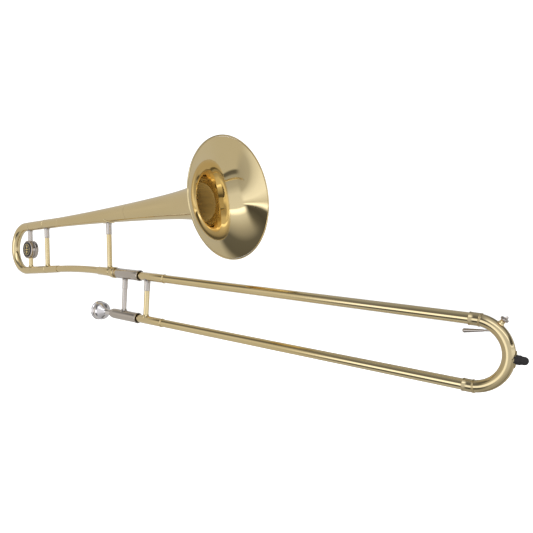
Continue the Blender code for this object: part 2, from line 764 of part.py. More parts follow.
def build_counterweight():
    """Two grooved half discs clamped on the tuning slide's brace, with a badge and a clamping screw."""
    at = (WEIGHT_AT, 0, 0)
    split = WEIGHT_HEIGHT + 0.010
    low, high = CROOK_RADII[0] + 0.0006, BELL_OFFSET - CROOK_RADII[1] - 0.0006
    brace("tuning_brace_upper", NICKEL, TUNING_FRAME, split + GAP, high, 0.0049, 0.0008, at, True)
    brace("tuning_brace_lower", LACQUER, TUNING_FRAME, low, split, 0.0047, 0.0014, at)
    centre = (WEIGHT_AT, 0, WEIGHT_HEIGHT)
    rim, chamfered = WEIGHT_RADIUS, WEIGHT_RADIUS - 0.0008
    inside, face = WEIGHT_GROOVE / 2, WEIGHT_HALF
    half = [(inside, chamfered), (0.0010, rim), (face - 0.0008, rim), (face, chamfered)]
    screw_hole = (WEIGHT_AT - 0.0115, 0, WEIGHT_HEIGHT)
    bar = [(-0.030, 0.0052), (0.030, 0.0052)]
    for side, along in (("front", -Y_AXIS), ("rear", Y_AXIS)):
        disc = turned(f"counterweight_{side}", NICKEL, TUNING_FRAME, half, at=centre, along=along, steps=32)
        channel = turned(f"{side}_channel", STEEL, TUNING_FRAME, bar, at=centre, along=Z_AXIS, steps=16)
        combine(disc, channel, "DIFFERENCE")
    drill = [(-0.0030, 0.0017), (0.0200, 0.0017)]
    hole = turned("screw_hole", STEEL, TUNING_FRAME, drill, at=screw_hole, along=Y_AXIS, steps=12)
    combine(bpy.data.objects["counterweight_rear"], hole, "DIFFERENCE")
    head = WEIGHT_HALF + GAP
    shank = 0.0014
    screw = [(0.0022, shank), (head, shank), (head, 0.0030), (head + 0.0014, 0.0030), (head + 0.0020, 0.0024)]
    turned("counterweight_screw", STEEL, TUNING_FRAME, screw, at=screw_hole, along=Y_AXIS, steps=16)
    badge = [(head, 0.0172), (head + 0.0006, 0.0172), (head + 0.0009, 0.0166)]
    turned("counterweight_badge", ENAMEL, TUNING_FRAME, badge, at=centre, along=-Y_AXIS, steps=32)


def build_mouthpiece():
    rim = MOUTHPIECE_RIM_AT
    outer = [
        (rim, 0.0158),
        (rim + 0.0010, 0.0184),
        (rim + 0.0026, MOUTHPIECE_RIM_RADIUS),
        (rim + 0.0042, 0.0192),
        (rim + 0.0062, 0.0176),
        (rim + 0.0110, 0.0182),
        (rim + 0.0170, 0.0172),
        (rim + 0.0235, 0.0138),
        (rim + 0.0300, 0.0092),
        (rim + 0.0370, 0.0068),
        (rim + 0.0440, 0.0061),
        (MOUTHPIECE_END, 0.0054),
    ]
    inner = [
        (rim, 0.0138),
        (rim + 0.0016, 0.0128),
        (rim + 0.0080, 0.0122),
        (rim + 0.0150, 0.0104),
        (rim + 0.0210, 0.0072),
        (rim + 0.0255, 0.0034),
        (rim + 0.0300, 0.0032),
        (MOUTHPIECE_END, 0.0047),
    ]
    turned("mouthpiece", SILVER, MOUTHPIECE_FRAME, outer, inner, steps=24)


def main():
    build_inner_slide()
    build_outer_slide()
    build_bow_guard()
    build_water_key()
    build_gooseneck()
    build_lock_nut()
    build_bell()
    build_bell_braces()
    build_tuning_slide()
    build_counterweight()
    build_mouthpiece()


main()
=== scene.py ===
"""Tenor trombone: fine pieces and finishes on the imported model.

The hand slide lies along X, from the mouthpiece to the end bow, and Z is up. The bell section leans
up from it and is modelled along its own axis, which starts at the gooseneck's bend. All sizes are
in metres.
"""

import logging
import math
from dataclasses import dataclass, field
from enum import Enum

import bpy
from mathutils import Euler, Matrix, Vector


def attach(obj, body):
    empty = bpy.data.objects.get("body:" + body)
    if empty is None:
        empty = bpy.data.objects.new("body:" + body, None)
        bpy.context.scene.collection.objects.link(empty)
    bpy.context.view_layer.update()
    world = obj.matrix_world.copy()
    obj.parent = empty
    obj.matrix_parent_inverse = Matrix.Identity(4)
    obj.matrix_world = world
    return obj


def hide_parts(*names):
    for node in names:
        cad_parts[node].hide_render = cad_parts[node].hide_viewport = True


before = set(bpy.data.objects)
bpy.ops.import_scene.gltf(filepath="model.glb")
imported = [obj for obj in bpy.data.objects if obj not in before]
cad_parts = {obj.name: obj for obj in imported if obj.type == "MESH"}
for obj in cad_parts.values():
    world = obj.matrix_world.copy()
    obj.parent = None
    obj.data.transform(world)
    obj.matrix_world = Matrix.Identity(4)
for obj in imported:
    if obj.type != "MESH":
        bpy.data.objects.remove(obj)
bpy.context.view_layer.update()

LOG = logging.getLogger("trombone")

X_AXIS = Vector((1, 0, 0))
Y_AXIS = Vector((0, 1, 0))
Z_AXIS = Vector((0, 0, 1))
SPECK = 0.001  # the square that a chain of edges is drawn out of
WELD = 0.000002  # points nearer than this are one
STRAIGHT = 1e-7  # a bend under this angle is none
GAP = 0.0003  # between pieces that meet
SHEET = 0.0006  # wall of bent and spun brass
SMOOTH_ANGLE = math.radians(34)

Outline = list[tuple[float, float]]  # stations and radii
Piece = bpy.types.Object
Pieces = dict[str, Piece]


class Body(Enum):
    """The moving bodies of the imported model."""

    INNER_SLIDE = "inner_slide"
    OUTER_SLIDE = "outer_slide"
    BELL_SECTION = "bell_section"
    LOCK_NUT = "lock_nut"
    TUNING_SLIDE = "tuning_slide"
    MOUTHPIECE = "mouthpiece"
    WATER_KEY = "water_key"


class Slot(Enum):
    """The record's material slots, named alongside the new pieces' finishes."""

    LACQUER = "lacquered_brass"
    RAW_BRASS = "raw_brass"
    NICKEL = "nickel_silver"
    CHROME = "chromed_tube"
    SILVER = "silver_plate"
    RUBBER = "black_rubber"
    ENAMEL = "black_enamel"
    STEEL = "spring_steel"


@dataclass(frozen=True)
class Line:
    """A straight axis that pieces are turned on, with a side from which outlines are drawn."""

    origin: Vector
    along: Vector
    side: Vector

    def at(self, station: float, radius: float = 0.0) -> Vector:
        """The point at a station along the line and a distance to its side."""
        return self.origin + self.along * station + self.side * radius


@dataclass(frozen=True)
class Ring:
    """One ring of a bent tube: its middle, the way the tube runs there, and its radius."""

    middle: Vector
    along: Vector
    radius: float


def slide_line(height: float) -> Line:
    """The axis of a hand slide tube at this height."""
    return Line(Vector((0, 0, height)), X_AXIS, Z_AXIS)


@dataclass(frozen=True)
class BellFrame:
    """Where the bell section lies: its tilt, and the bend of the gooseneck that it starts from."""

    tilt: float = math.radians(5.86)
    elbow: tuple[float, float, float] = (-0.156, 0.0, 0.041)
    offset: float = 0.103

    @property
    def along(self) -> Vector:
        """The way from the tuning slide to the bell rim."""
        return Vector((math.cos(self.tilt), 0, math.sin(self.tilt)))

    @property
    def across(self) -> Vector:
        """The way from the lower leg up to the bell's own axis."""
        return Vector((-math.sin(self.tilt), 0, math.cos(self.tilt)))

    def line(self, height: float) -> Line:
        """The axis at this height above the lower leg."""
        return Line(Vector(self.elbow) + self.across * height, self.along, self.across)

    def brace_line(self, station: float) -> Line:
        """The axis of a brace that stands on the lower leg at this station."""
        return Line(Vector(self.elbow) + self.along * station, self.across, -Y_AXIS)


BELL_FRAME = BellFrame()
UPPER, LOWER = 0.041, -0.041


def wall(outer: Outline, inner: Outline) -> Outline:
    """Closes an outer and an inner outline, both from back to front, into one loop."""
    return outer + inner[::-1] + outer[:1]


def bead(start: float, radius: float) -> Outline:
    """The rolled edge of a receiver: a small round bead, with a groove behind it.

    Args:
        start: The station of the edge.
        radius: The receiver's own radius.

    Returns:
        The outline of the edge.
    """
    steps = (0.0, 0.0003, 0.0008, 0.0013, 0.0016, 0.0021, 0.0023)
    rises = (-0.0003, 0.0002, 0.00035, 0.0002, -0.0003, -0.0003, 0.0)
    return [(start + step, radius + rise) for step, rise in zip(steps, rises)]


def plain_wall(start: float, end: float, radius: float, bore: float) -> Outline:
    """The loop of a straight tube."""
    return wall([(start, radius), (end, radius)], [(start, bore), (end, bore)])


def solid(outer: Outline) -> Outline:
    """Closes an outline onto its axis at both ends."""
    return [(outer[0][0], 0.0)] + outer + [(outer[-1][0], 0.0)]


def eased(outline: Outline, steps: int) -> Outline:
    """Draws a flowing curve through the outline's points.

    Args:
        outline: The points to pass through.
        steps: How many points replace each stretch.

    Returns:
        The denser outline.
    """
    ends = [outline[0]] + outline + [outline[-1]]
    dense: Outline = []
    for before, here, there, after in zip(ends, ends[1:], ends[2:], ends[3:]):
        for step in range(steps):
            t = step / steps
            dense.append(
                tuple(
                    0.5
                    * (
                        2 * b
                        + (c - a) * t
                        + (2 * a - 5 * b + 4 * c - d) * t**2
                        + (3 * b - a - 3 * c + d) * t**3
                    )
                    for a, b, c, d in zip(before, here, there, after)
                )
            )
    return dense + [outline[-1]]


class Bench:
    """The modelling steps that the pieces share, each done with Blender's own operators."""

    @staticmethod
    def clear() -> None:
        """Leaves edit mode and deselects everything."""
        if bpy.context.object and bpy.context.object.mode != "OBJECT":
            bpy.ops.object.mode_set(mode="OBJECT")
        bpy.ops.object.select_all(action="DESELECT")

    @classmethod
    def pick(cls, piece: Piece) -> None:
        """Makes this piece the only selected and active one.

        Args:
            piece: The piece to work on.
        """
        cls.clear()
        piece.select_set(True)
        bpy.context.view_layer.objects.active = piece

    @staticmethod
    def edit_new(name: str) -> Piece:
        """Names the new primitive, puts its place in its mesh and opens it for editing.

        Args:
            name: The piece's name.

        Returns:
            The primitive.
        """
        piece = bpy.context.object
        piece.name = piece.data.name = name
        bpy.ops.object.transform_apply(location=True, rotation=True, scale=True)
        bpy.ops.object.mode_set(mode="EDIT")
        bpy.ops.mesh.select_all(action="SELECT")
        return piece

    @staticmethod
    def select_none(piece: Piece) -> None:
        """Leaves edit mode with nothing in the piece selected.

        Args:
            piece: The piece that is being edited.
        """
        bpy.ops.object.mode_set(mode="OBJECT")
        for part in (*piece.data.vertices, *piece.data.edges, *piece.data.polygons):
            part.select = False

    @staticmethod
    def pull(step: tuple[float, float, float] | Vector) -> None:
        """Extrudes what is selected and moves the new end."""
        bpy.ops.mesh.extrude_region_move(TRANSFORM_OT_translate={"value": step})

    @staticmethod
    def close_edit() -> None:
        """Merges doubles, points the faces outwards and leaves edit mode."""
        bpy.ops.mesh.select_all(action="SELECT")
        bpy.ops.mesh.remove_doubles(threshold=WELD)
        bpy.ops.mesh.normals_make_consistent(inside=False)
        bpy.ops.object.mode_set(mode="OBJECT")

    @classmethod
    def turn(cls, name: str, line: Line, outline: Outline, sides: int = 64) -> Piece:
        """Spins an outline right round a line.

        Args:
            name: The piece's name.
            line: The axis.
            outline: (station, radius) points that end on the axis or where they start.
            sides: Faces round the piece.

        Returns:
            The turned piece.
        """
        piece = cls.draw(name, [line.at(*point) for point in outline])
        bpy.ops.mesh.select_all(action="SELECT")
        bpy.ops.mesh.spin(steps=sides, angle=math.tau, center=line.origin, axis=line.along)
        cls.close_edit()
        return piece

    @classmethod
    def draw(cls, name: str, points: list[Vector]) -> Piece:
        """Draws a chain of edges through points by extruding one vertex, and stays in edit mode.

        Args:
            name: The piece's name.
            points: The chain's points in order.

        Returns:
            The chain.
        """
        cls.clear()
        bpy.ops.mesh.primitive_plane_add(size=SPECK, location=points[0])
        piece = cls.edit_new(name)
        bpy.ops.mesh.merge(type="CENTER")
        for here, there in zip(points, points[1:]):
            bpy.ops.mesh.extrude_vertices_move(TRANSFORM_OT_translate={"value": there - here})
        return piece

    @classmethod
    def hoop(cls, name: str, ring: Ring, sides: int) -> Piece:
        """Adds the first ring of a tube and opens it for editing.

        Args:
            name: The piece's name.
            ring: Where the ring lies.
            sides: Faces round the tube.

        Returns:
            The ring.
        """
        cls.clear()
        turn = Z_AXIS.rotation_difference(ring.along).to_euler()
        bpy.ops.mesh.primitive_circle_add(
            vertices=sides, radius=ring.radius, location=ring.middle, rotation=turn
        )
        return cls.edit_new(name)

    @classmethod
    def sweep(cls, name: str, rings: list[Ring], sides: int = 48) -> Piece:
        """Draws a tube that bends in the XZ plane, ring by ring, and stays in edit mode.

        Args:
            name: The piece's name.
            rings: The rings from one end to the other.
            sides: Faces round the tube.

        Returns:
            The open tube.
        """
        piece = cls.hoop(name, rings[0], sides)
        for here, there in zip(rings, rings[1:]):
            step = there.middle - here.middle
            cls.pull(step)
            angle = math.atan2(
                here.along.x * there.along.z - here.along.z * there.along.x, here.along.dot(there.along)
            )
            if abs(angle) > STRAIGHT:
                bpy.ops.transform.rotate(
                    value=angle, orient_axis="Y", orient_type="GLOBAL", center_override=there.middle
                )
            if there.radius != here.radius:
                growth = there.radius / here.radius
                bpy.ops.transform.resize(value=(growth,) * 3, center_override=there.middle)
        return piece

    @classmethod
    def bow(
        cls, name: str, start: Ring, centre: Vector, angle: float, steps: int, lead: float = 0.0
    ) -> Piece:
        """Spins a ring round a centre in the XZ plane, with a straight lead at each end.

        Args:
            name: The piece's name.
            start: The ring at the start of the arc.
            centre: The middle of the arc.
            angle: How far the tube bends.
            steps: Rings in the arc.
            lead: Length of the straight ends.

        Returns:
            The open tube.
        """
        piece = cls.hoop(name, Ring(start.middle - start.along * lead, start.along, start.radius), 48)
        if lead:
            cls.pull(start.along * lead)
        bpy.ops.mesh.spin(steps=steps, angle=angle, center=centre, axis=Y_AXIS)
        if lead:
            cls.pull(-start.along * lead)
        cls.close_edit()
        return piece

    @classmethod
    def apply(cls, piece: Piece, kind: str, **settings: object) -> None:
        """Adds a modifier to a piece with these settings and applies it.

        Args:
            piece: The piece to change.
            kind: The modifier's type.
            **settings: Its settings by name.
        """
        cls.pick(piece)
        modifier = piece.modifiers.new(kind.lower(), kind)
        for setting, value in settings.items():
            setattr(modifier, setting, value)
        bpy.ops.object.modifier_apply(modifier=modifier.name)

    @classmethod
    def thicken(cls, piece: Piece, thickness: float) -> None:
        """Gives an open tube its wall, inwards."""
        cls.apply(piece, "SOLIDIFY", thickness=thickness, offset=-1.0, use_even_offset=True)

    @classmethod
    def soften(cls, piece: Piece, width: float, segments: int = 2) -> None:
        """Rounds a piece's sharp edges a little.

        Args:
            piece: The piece to soften.
            width: Width of the rounded edge.
            segments: Faces across the rounded edge.
        """
        cls.apply(
            piece, "BEVEL", width=width, segments=segments, limit_method="ANGLE", angle_limit=SMOOTH_ANGLE
        )

    @classmethod
    def cut(cls, piece: Piece, tool: Piece, operation: str) -> None:
        """Cuts, joins or trims a piece with a tool piece, and removes the tool."""
        cls.apply(piece, "BOOLEAN", operation=operation, object=tool, solver="EXACT")
        bpy.data.objects.remove(tool, do_unlink=True)

    @classmethod
    def smooth(cls, piece: Piece) -> None:
        """Shades a piece smooth, apart from its sharp edges."""
        cls.pick(piece)
        bpy.ops.object.shade_smooth_by_angle(angle=SMOOTH_ANGLE)

    @classmethod
    def copy(cls, piece: Piece, name: str, move: Vector) -> Piece:
        """Copies a piece with its own mesh and moves the copy.

        Args:
            piece: The piece to copy.
            name: The copy's name.
            move: How far the copy moves.

        Returns:
            The copy.
        """
        cls.pick(piece)
        bpy.ops.object.duplicate(linked=False)
        twin = bpy.context.object
        twin.name = twin.data.name = name
        bpy.ops.transform.translate(value=move)
        bpy.ops.object.transform_apply(location=True, rotation=True, scale=True)
        return twin


def fit(piece: Piece, body: Body, slot: Slot, material: bpy.types.Material, *nodes: str) -> Piece:
    """Dresses a piece, makes it ride on its body and lets it stand for its CAD nodes.

    Args:
        piece: The finished mesh.
        body: The body that it moves with.
        slot: The record's slot for its finish; not used.
        material: Its finish.
        *nodes: The CAD nodes that it replaces.

    Returns:
        The piece.
    """
    Bench.smooth(piece)
    piece.data.materials.clear()
    piece.data.materials.append(material)
    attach(piece, body.value)
    if nodes:
        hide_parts(*nodes)
    LOG.info("%s: %d faces on %s", piece.name, len(piece.data.polygons), body.value)
    return piece


def dress_all(made: Pieces, body: Body, looks: dict[str, tuple[Slot, bpy.types.Material]]) -> None:
    """Dresses the pieces of one body by a word in their names.

    Args:
        made: The pieces, by CAD node.
        body: The body that they move with.
        looks: The slot and finish for each word. The first word found in a node's name holds.
    """
    for node, piece in made.items():
        slot, material = next(look for word, look in looks.items() if word in node)
        fit(piece, body, slot, material, node)


def dress_node(node: str, material: bpy.types.Material) -> None:
    """Gives a CAD node that stays in sight its finish."""
    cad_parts[node].data.materials.clear()
    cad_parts[node].data.materials.append(material)


BRASS_BRIGHT = (0.87, 0.70, 0.385)
BRASS_DEEP = (0.80, 0.62, 0.30)
NICKEL_BRIGHT = (0.66, 0.59, 0.51)
NICKEL_DEEP = (0.58, 0.52, 0.45)
ALONG_X = (8.0, 900.0, 900.0)
ALONG_Z = (900.0, 900.0, 8.0)
EVENLY = (160.0, 160.0, 160.0)


@dataclass(frozen=True)
class PolishedMetal:
    """A polished metal whose fine buffing lines run one way."""

    name: str
    bright: tuple[float, float, float]
    deep: tuple[float, float, float]
    gloss: tuple[float, float] = (0.07, 0.13)
    lines: tuple[float, float, float] = ALONG_X
    turn: tuple[float, float, float] = (0.0, 0.0, 0.0)
    coat: float = 0.0

    def make(self) -> bpy.types.Material:
        """Builds the material.

        Returns:
            The material, with its nodes laid out by effect.
        """
        material = bpy.data.materials.new(self.name)
        material.use_nodes = True
        nodes = material.node_tree.nodes
        links = material.node_tree.links
        nodes.clear()

        surface = nodes.new("ShaderNodeOutputMaterial")
        surface.label = "finished metal"
        surface.location = (700, 0)
        metal = nodes.new("ShaderNodeBsdfPrincipled")
        metal.label = "polished metal under its lacquer"
        metal.location = (400, 0)
        metal.inputs["Metallic"].default_value = 1.0
        metal.inputs["Coat Weight"].default_value = self.coat
        metal.inputs["Coat Roughness"].default_value = 0.04
        metal.inputs["Coat IOR"].default_value = 1.5
        links.new(metal.outputs["BSDF"], surface.inputs["Surface"])

        place = nodes.new("ShaderNodeTexCoord")
        place.label = "place on the instrument"
        place.location = (-1100, 0)

        tone = nodes.new("NodeFrame")
        tone.label = "Colour: slow drift along the piece"
        drift = nodes.new("ShaderNodeTexNoise")
        drift.label = "slow change of tone along the piece"
        drift.inputs["Scale"].default_value = 14.0
        drift.inputs["Detail"].default_value = 3.0
        spread = nodes.new("ShaderNodeMapRange")
        spread.label = "keep the drift faint"
        spread.inputs["From Min"].default_value = 0.3
        spread.inputs["From Max"].default_value = 0.7
        spread.inputs["To Min"].default_value = 0.0
        spread.inputs["To Max"].default_value = 0.55
        blend = nodes.new("ShaderNodeMix")
        blend.label = "bright metal to deeper metal"
        blend.data_type = "RGBA"
        blend.inputs["A"].default_value = (*self.bright, 1)
        blend.inputs["B"].default_value = (*self.deep, 1)
        for node, spot in ((drift, (-700, 420)), (spread, (-500, 420)), (blend, (-260, 420))):
            node.parent, node.location = tone, spot
        links.new(place.outputs["Object"], drift.inputs["Vector"])
        links.new(drift.outputs["Fac"], spread.inputs["Value"])
        links.new(spread.outputs["Result"], blend.inputs["Factor"])
        links.new(blend.outputs["Result"], metal.inputs["Base Color"])

        sheen = nodes.new("NodeFrame")
        sheen.label = "Gloss: handling marks"
        marks = nodes.new("ShaderNodeTexNoise")
        marks.label = "faint smudges from handling"
        marks.inputs["Scale"].default_value = 55.0
        marks.inputs["Detail"].default_value = 5.0
        marks.inputs["Roughness"].default_value = 0.62
        polish = nodes.new("ShaderNodeMapRange")
        polish.label = "roughness of the polish"
        polish.inputs["From Min"].default_value = 0.35
        polish.inputs["From Max"].default_value = 0.72
        polish.inputs["To Min"].default_value = self.gloss[0]
        polish.inputs["To Max"].default_value = self.gloss[1]
        for node, spot in ((marks, (-700, 60)), (polish, (-420, 60))):
            node.parent, node.location = sheen, spot
        links.new(place.outputs["Object"], marks.inputs["Vector"])
        links.new(marks.outputs["Fac"], polish.inputs["Value"])
        links.new(polish.outputs["Result"], metal.inputs["Roughness"])

        relief = nodes.new("NodeFrame")
        relief.label = "Relief: buffing lines"
        grain = nodes.new("ShaderNodeMapping")
        grain.label = "stretch the lines along the tube"
        grain.inputs["Rotation"].default_value = self.turn
        grain.inputs["Scale"].default_value = self.lines
        buffing = nodes.new("ShaderNodeTexNoise")
        buffing.label = "fine buffing lines"
        buffing.inputs["Scale"].default_value = 1.0
        buffing.inputs["Detail"].default_value = 2.0
        bump = nodes.new("ShaderNodeBump")
        bump.label = "raise the lines a hair"
        bump.inputs["Strength"].default_value = 0.05
        bump.inputs["Distance"].default_value = 0.00004
        for node, spot in ((grain, (-900, -300)), (buffing, (-700, -300)), (bump, (-420, -300))):
            node.parent, node.location = relief, spot
        links.new(place.outputs["Object"], grain.inputs["Vector"])
        links.new(grain.outputs["Vector"], buffing.inputs["Vector"])
        links.new(buffing.outputs["Fac"], bump.inputs["Height"])
        links.new(bump.outputs["Normal"], metal.inputs["Normal"])
        return material


@dataclass(frozen=True)
class SpunBrass:
    """Lacquered brass spun on a mandrel: faint rings round the bell's axis."""

    name: str
    bright: tuple[float, float, float]
    deep: tuple[float, float, float]
    metallic: float = 1.0
    coat: float = 0.35
    dull: float = 0.0
    dull_from: float = 0.350
    dull_to: float = 0.290

    def make(self) -> bpy.types.Material:
        """Builds the material.

        Returns:
            The material, with its nodes laid out by effect.
        """
        material = bpy.data.materials.new(self.name)
        material.use_nodes = True
        nodes = material.node_tree.nodes
        links = material.node_tree.links
        nodes.clear()

        surface = nodes.new("ShaderNodeOutputMaterial")
        surface.label = "finished bell brass"
        surface.location = (900, 0)
        metal = nodes.new("ShaderNodeBsdfPrincipled")
        metal.label = "spun brass and its lacquer"
        metal.location = (600, 0)
        metal.inputs["Metallic"].default_value = self.metallic
        metal.inputs["Coat Weight"].default_value = self.coat
        metal.inputs["Coat Roughness"].default_value = 0.03
        metal.inputs["Coat IOR"].default_value = 1.5
        links.new(metal.outputs["BSDF"], surface.inputs["Surface"])

        place = nodes.new("ShaderNodeTexCoord")
        place.label = "place on the instrument"
        place.location = (-1300, 0)

        round_frame = nodes.new("NodeFrame")
        round_frame.label = "Distance from the bell's axis"
        centre = nodes.new("ShaderNodeMapping")
        centre.label = "centre on the bell's axis"
        centre.vector_type = "TEXTURE"
        centre.inputs["Location"].default_value = BELL_FRAME.line(BELL_FRAME.offset).origin
        centre.inputs["Rotation"].default_value = (0, -BELL_FRAME.tilt, 0)
        split = nodes.new("ShaderNodeSeparateXYZ")
        split.label = "station along the bell"
        flat = nodes.new("ShaderNodeVectorMath")
        flat.label = "drop the station"
        flat.operation = "MULTIPLY"
        flat.inputs[1].default_value = (0, 1, 1)
        reach = nodes.new("ShaderNodeVectorMath")
        reach.label = "distance from the axis"
        reach.operation = "LENGTH"
        rings = nodes.new("ShaderNodeCombineXYZ")
        rings.label = "the same all the way round"
        for node, spot in (
            (centre, (-1100, -200)), (split, (-900, -60)), (flat, (-900, -260)), (reach, (-720, -260)),
            (rings, (-520, -160)),
        ):
            node.parent, node.location = round_frame, spot
        links.new(place.outputs["Object"], centre.inputs["Vector"])
        links.new(centre.outputs["Vector"], split.inputs["Vector"])
        links.new(centre.outputs["Vector"], flat.inputs[0])
        links.new(flat.outputs["Vector"], reach.inputs[0])
        links.new(split.outputs["X"], rings.inputs["X"])
        links.new(reach.outputs["Value"], rings.inputs["Y"])

        relief = nodes.new("NodeFrame")
        relief.label = "Relief: spinning rings"
        spinning = nodes.new("ShaderNodeTexNoise")
        spinning.label = "rings left by the spinning tool"
        spinning.inputs["Scale"].default_value = 260.0
        spinning.inputs["Detail"].default_value = 2.0
        bump = nodes.new("ShaderNodeBump")
        bump.label = "raise the rings a hair"
        bump.inputs["Strength"].default_value = 0.04
        bump.inputs["Distance"].default_value = 0.0001
        for node, spot in ((spinning, (-260, -260)), (bump, (0, -260))):
            node.parent, node.location = relief, spot
        links.new(rings.outputs["Vector"], spinning.inputs["Vector"])
        links.new(spinning.outputs["Fac"], bump.inputs["Height"])
        links.new(bump.outputs["Normal"], metal.inputs["Normal"])

        tone = nodes.new("NodeFrame")
        tone.label = "Colour: slow drift round the bell"
        drift = nodes.new("ShaderNodeTexNoise")
        drift.label = "slow change of tone in the brass"
        drift.inputs["Scale"].default_value = 9.0
        drift.inputs["Detail"].default_value = 3.0
        blend = nodes.new("ShaderNodeMix")
        blend.label = "bright brass to deeper brass"
        blend.data_type = "RGBA"
        blend.inputs["A"].default_value = (*self.bright, 1)
        blend.inputs["B"].default_value = (*self.deep, 1)
        for node, spot in ((drift, (-260, 320)), (blend, (0, 320))):
            node.parent, node.location = tone, spot
        links.new(place.outputs["Object"], drift.inputs["Vector"])
        links.new(drift.outputs["Fac"], blend.inputs["Factor"])
        links.new(blend.outputs["Result"], metal.inputs["Base Color"])

        sheen = nodes.new("NodeFrame")
        sheen.label = "Gloss: polish and smudges"
        marks = nodes.new("ShaderNodeTexNoise")
        marks.label = "faint smudges on the polish"
        marks.inputs["Scale"].default_value = 30.0
        marks.inputs["Detail"].default_value = 6.0
        polish = nodes.new("ShaderNodeMapRange")
        polish.label = "roughness of the polish"
        polish.inputs["From Min"].default_value = 0.35
        polish.inputs["From Max"].default_value = 0.75
        polish.inputs["To Min"].default_value = 0.045
        polish.inputs["To Max"].default_value = 0.09
        depth = nodes.new("ShaderNodeMapRange")
        depth.label = "unpolished further into the bore"
        depth.interpolation_type = "SMOOTHSTEP"
        depth.inputs["From Min"].default_value = self.dull_from
        depth.inputs["From Max"].default_value = self.dull_to
        depth.inputs["To Max"].default_value = self.dull
        both = nodes.new("ShaderNodeMath")
        both.label = "polish and depth together"
        both.operation = "ADD"
        for node, spot in ((marks, (-260, 60)), (polish, (0, 60)), (depth, (0, -60)), (both, (200, 0))):
            node.parent, node.location = sheen, spot
        links.new(place.outputs["Object"], marks.inputs["Vector"])
        links.new(marks.outputs["Fac"], polish.inputs["Value"])
        links.new(split.outputs["X"], depth.inputs["Value"])
        links.new(polish.outputs["Result"], both.inputs[0])
        links.new(depth.outputs["Result"], both.inputs[1])
        links.new(both.outputs["Value"], metal.inputs["Roughness"])
        return material


@dataclass(frozen=True)
class MouldedSurface:
    """A material that is not metal: rubber, enamel, or cork, with a speckle and a relief."""

    name: str
    colour: tuple[float, float, float]
    speck: tuple[float, float, float]
    grain: float
    roughness: tuple[float, float]
    depth: float
    coat: float = 0.0

    def make(self) -> bpy.types.Material:
        """Builds the material.

        Returns:
            The material, with its nodes laid out by effect.
        """
        material = bpy.data.materials.new(self.name)
        material.use_nodes = True
        nodes = material.node_tree.nodes
        links = material.node_tree.links
        nodes.clear()

        surface = nodes.new("ShaderNodeOutputMaterial")
        surface.label = "finished surface"
        surface.location = (600, 0)
        body = nodes.new("ShaderNodeBsdfPrincipled")
        body.label = "the material's body"
        body.location = (300, 0)
        body.inputs["Specular IOR Level"].default_value = 0.25
        body.inputs["Coat Weight"].default_value = self.coat
        body.inputs["Coat Roughness"].default_value = 0.05
        links.new(body.outputs["BSDF"], surface.inputs["Surface"])

        place = nodes.new("ShaderNodeTexCoord")
        place.label = "place on the instrument"
        place.location = (-900, 0)

        tone = nodes.new("NodeFrame")
        tone.label = "Colour: specks"
        grains = nodes.new("ShaderNodeTexNoise")
        grains.label = "grains of the material"
        grains.inputs["Scale"].default_value = self.grain
        grains.inputs["Detail"].default_value = 6.0
        blend = nodes.new("ShaderNodeMix")
        blend.label = "ground colour to speck colour"
        blend.data_type = "RGBA"
        blend.inputs["A"].default_value = (*self.colour, 1)
        blend.inputs["B"].default_value = (*self.speck, 1)
        for node, spot in ((grains, (-600, 200)), (blend, (-300, 200))):
            node.parent, node.location = tone, spot
        links.new(place.outputs["Object"], grains.inputs["Vector"])
        links.new(grains.outputs["Fac"], blend.inputs["Factor"])
        links.new(blend.outputs["Result"], body.inputs["Base Color"])

        relief = nodes.new("NodeFrame")
        relief.label = "Gloss and relief: moulded skin"
        gloss = nodes.new("ShaderNodeMapRange")
        gloss.label = "duller where it is handled"
        gloss.inputs["To Min"].default_value = self.roughness[0]
        gloss.inputs["To Max"].default_value = self.roughness[1]
        bump = nodes.new("ShaderNodeBump")
        bump.label = "skin of the material"
        bump.inputs["Strength"].default_value = 0.5
        bump.inputs["Distance"].default_value = self.depth
        for node, spot in ((gloss, (-300, -40)), (bump, (-300, -300))):
            node.parent, node.location = relief, spot
        links.new(grains.outputs["Fac"], gloss.inputs["Value"])
        links.new(gloss.outputs["Result"], body.inputs["Roughness"])
        links.new(grains.outputs["Fac"], bump.inputs["Height"])
        links.new(bump.outputs["Normal"], body.inputs["Normal"])
        return material


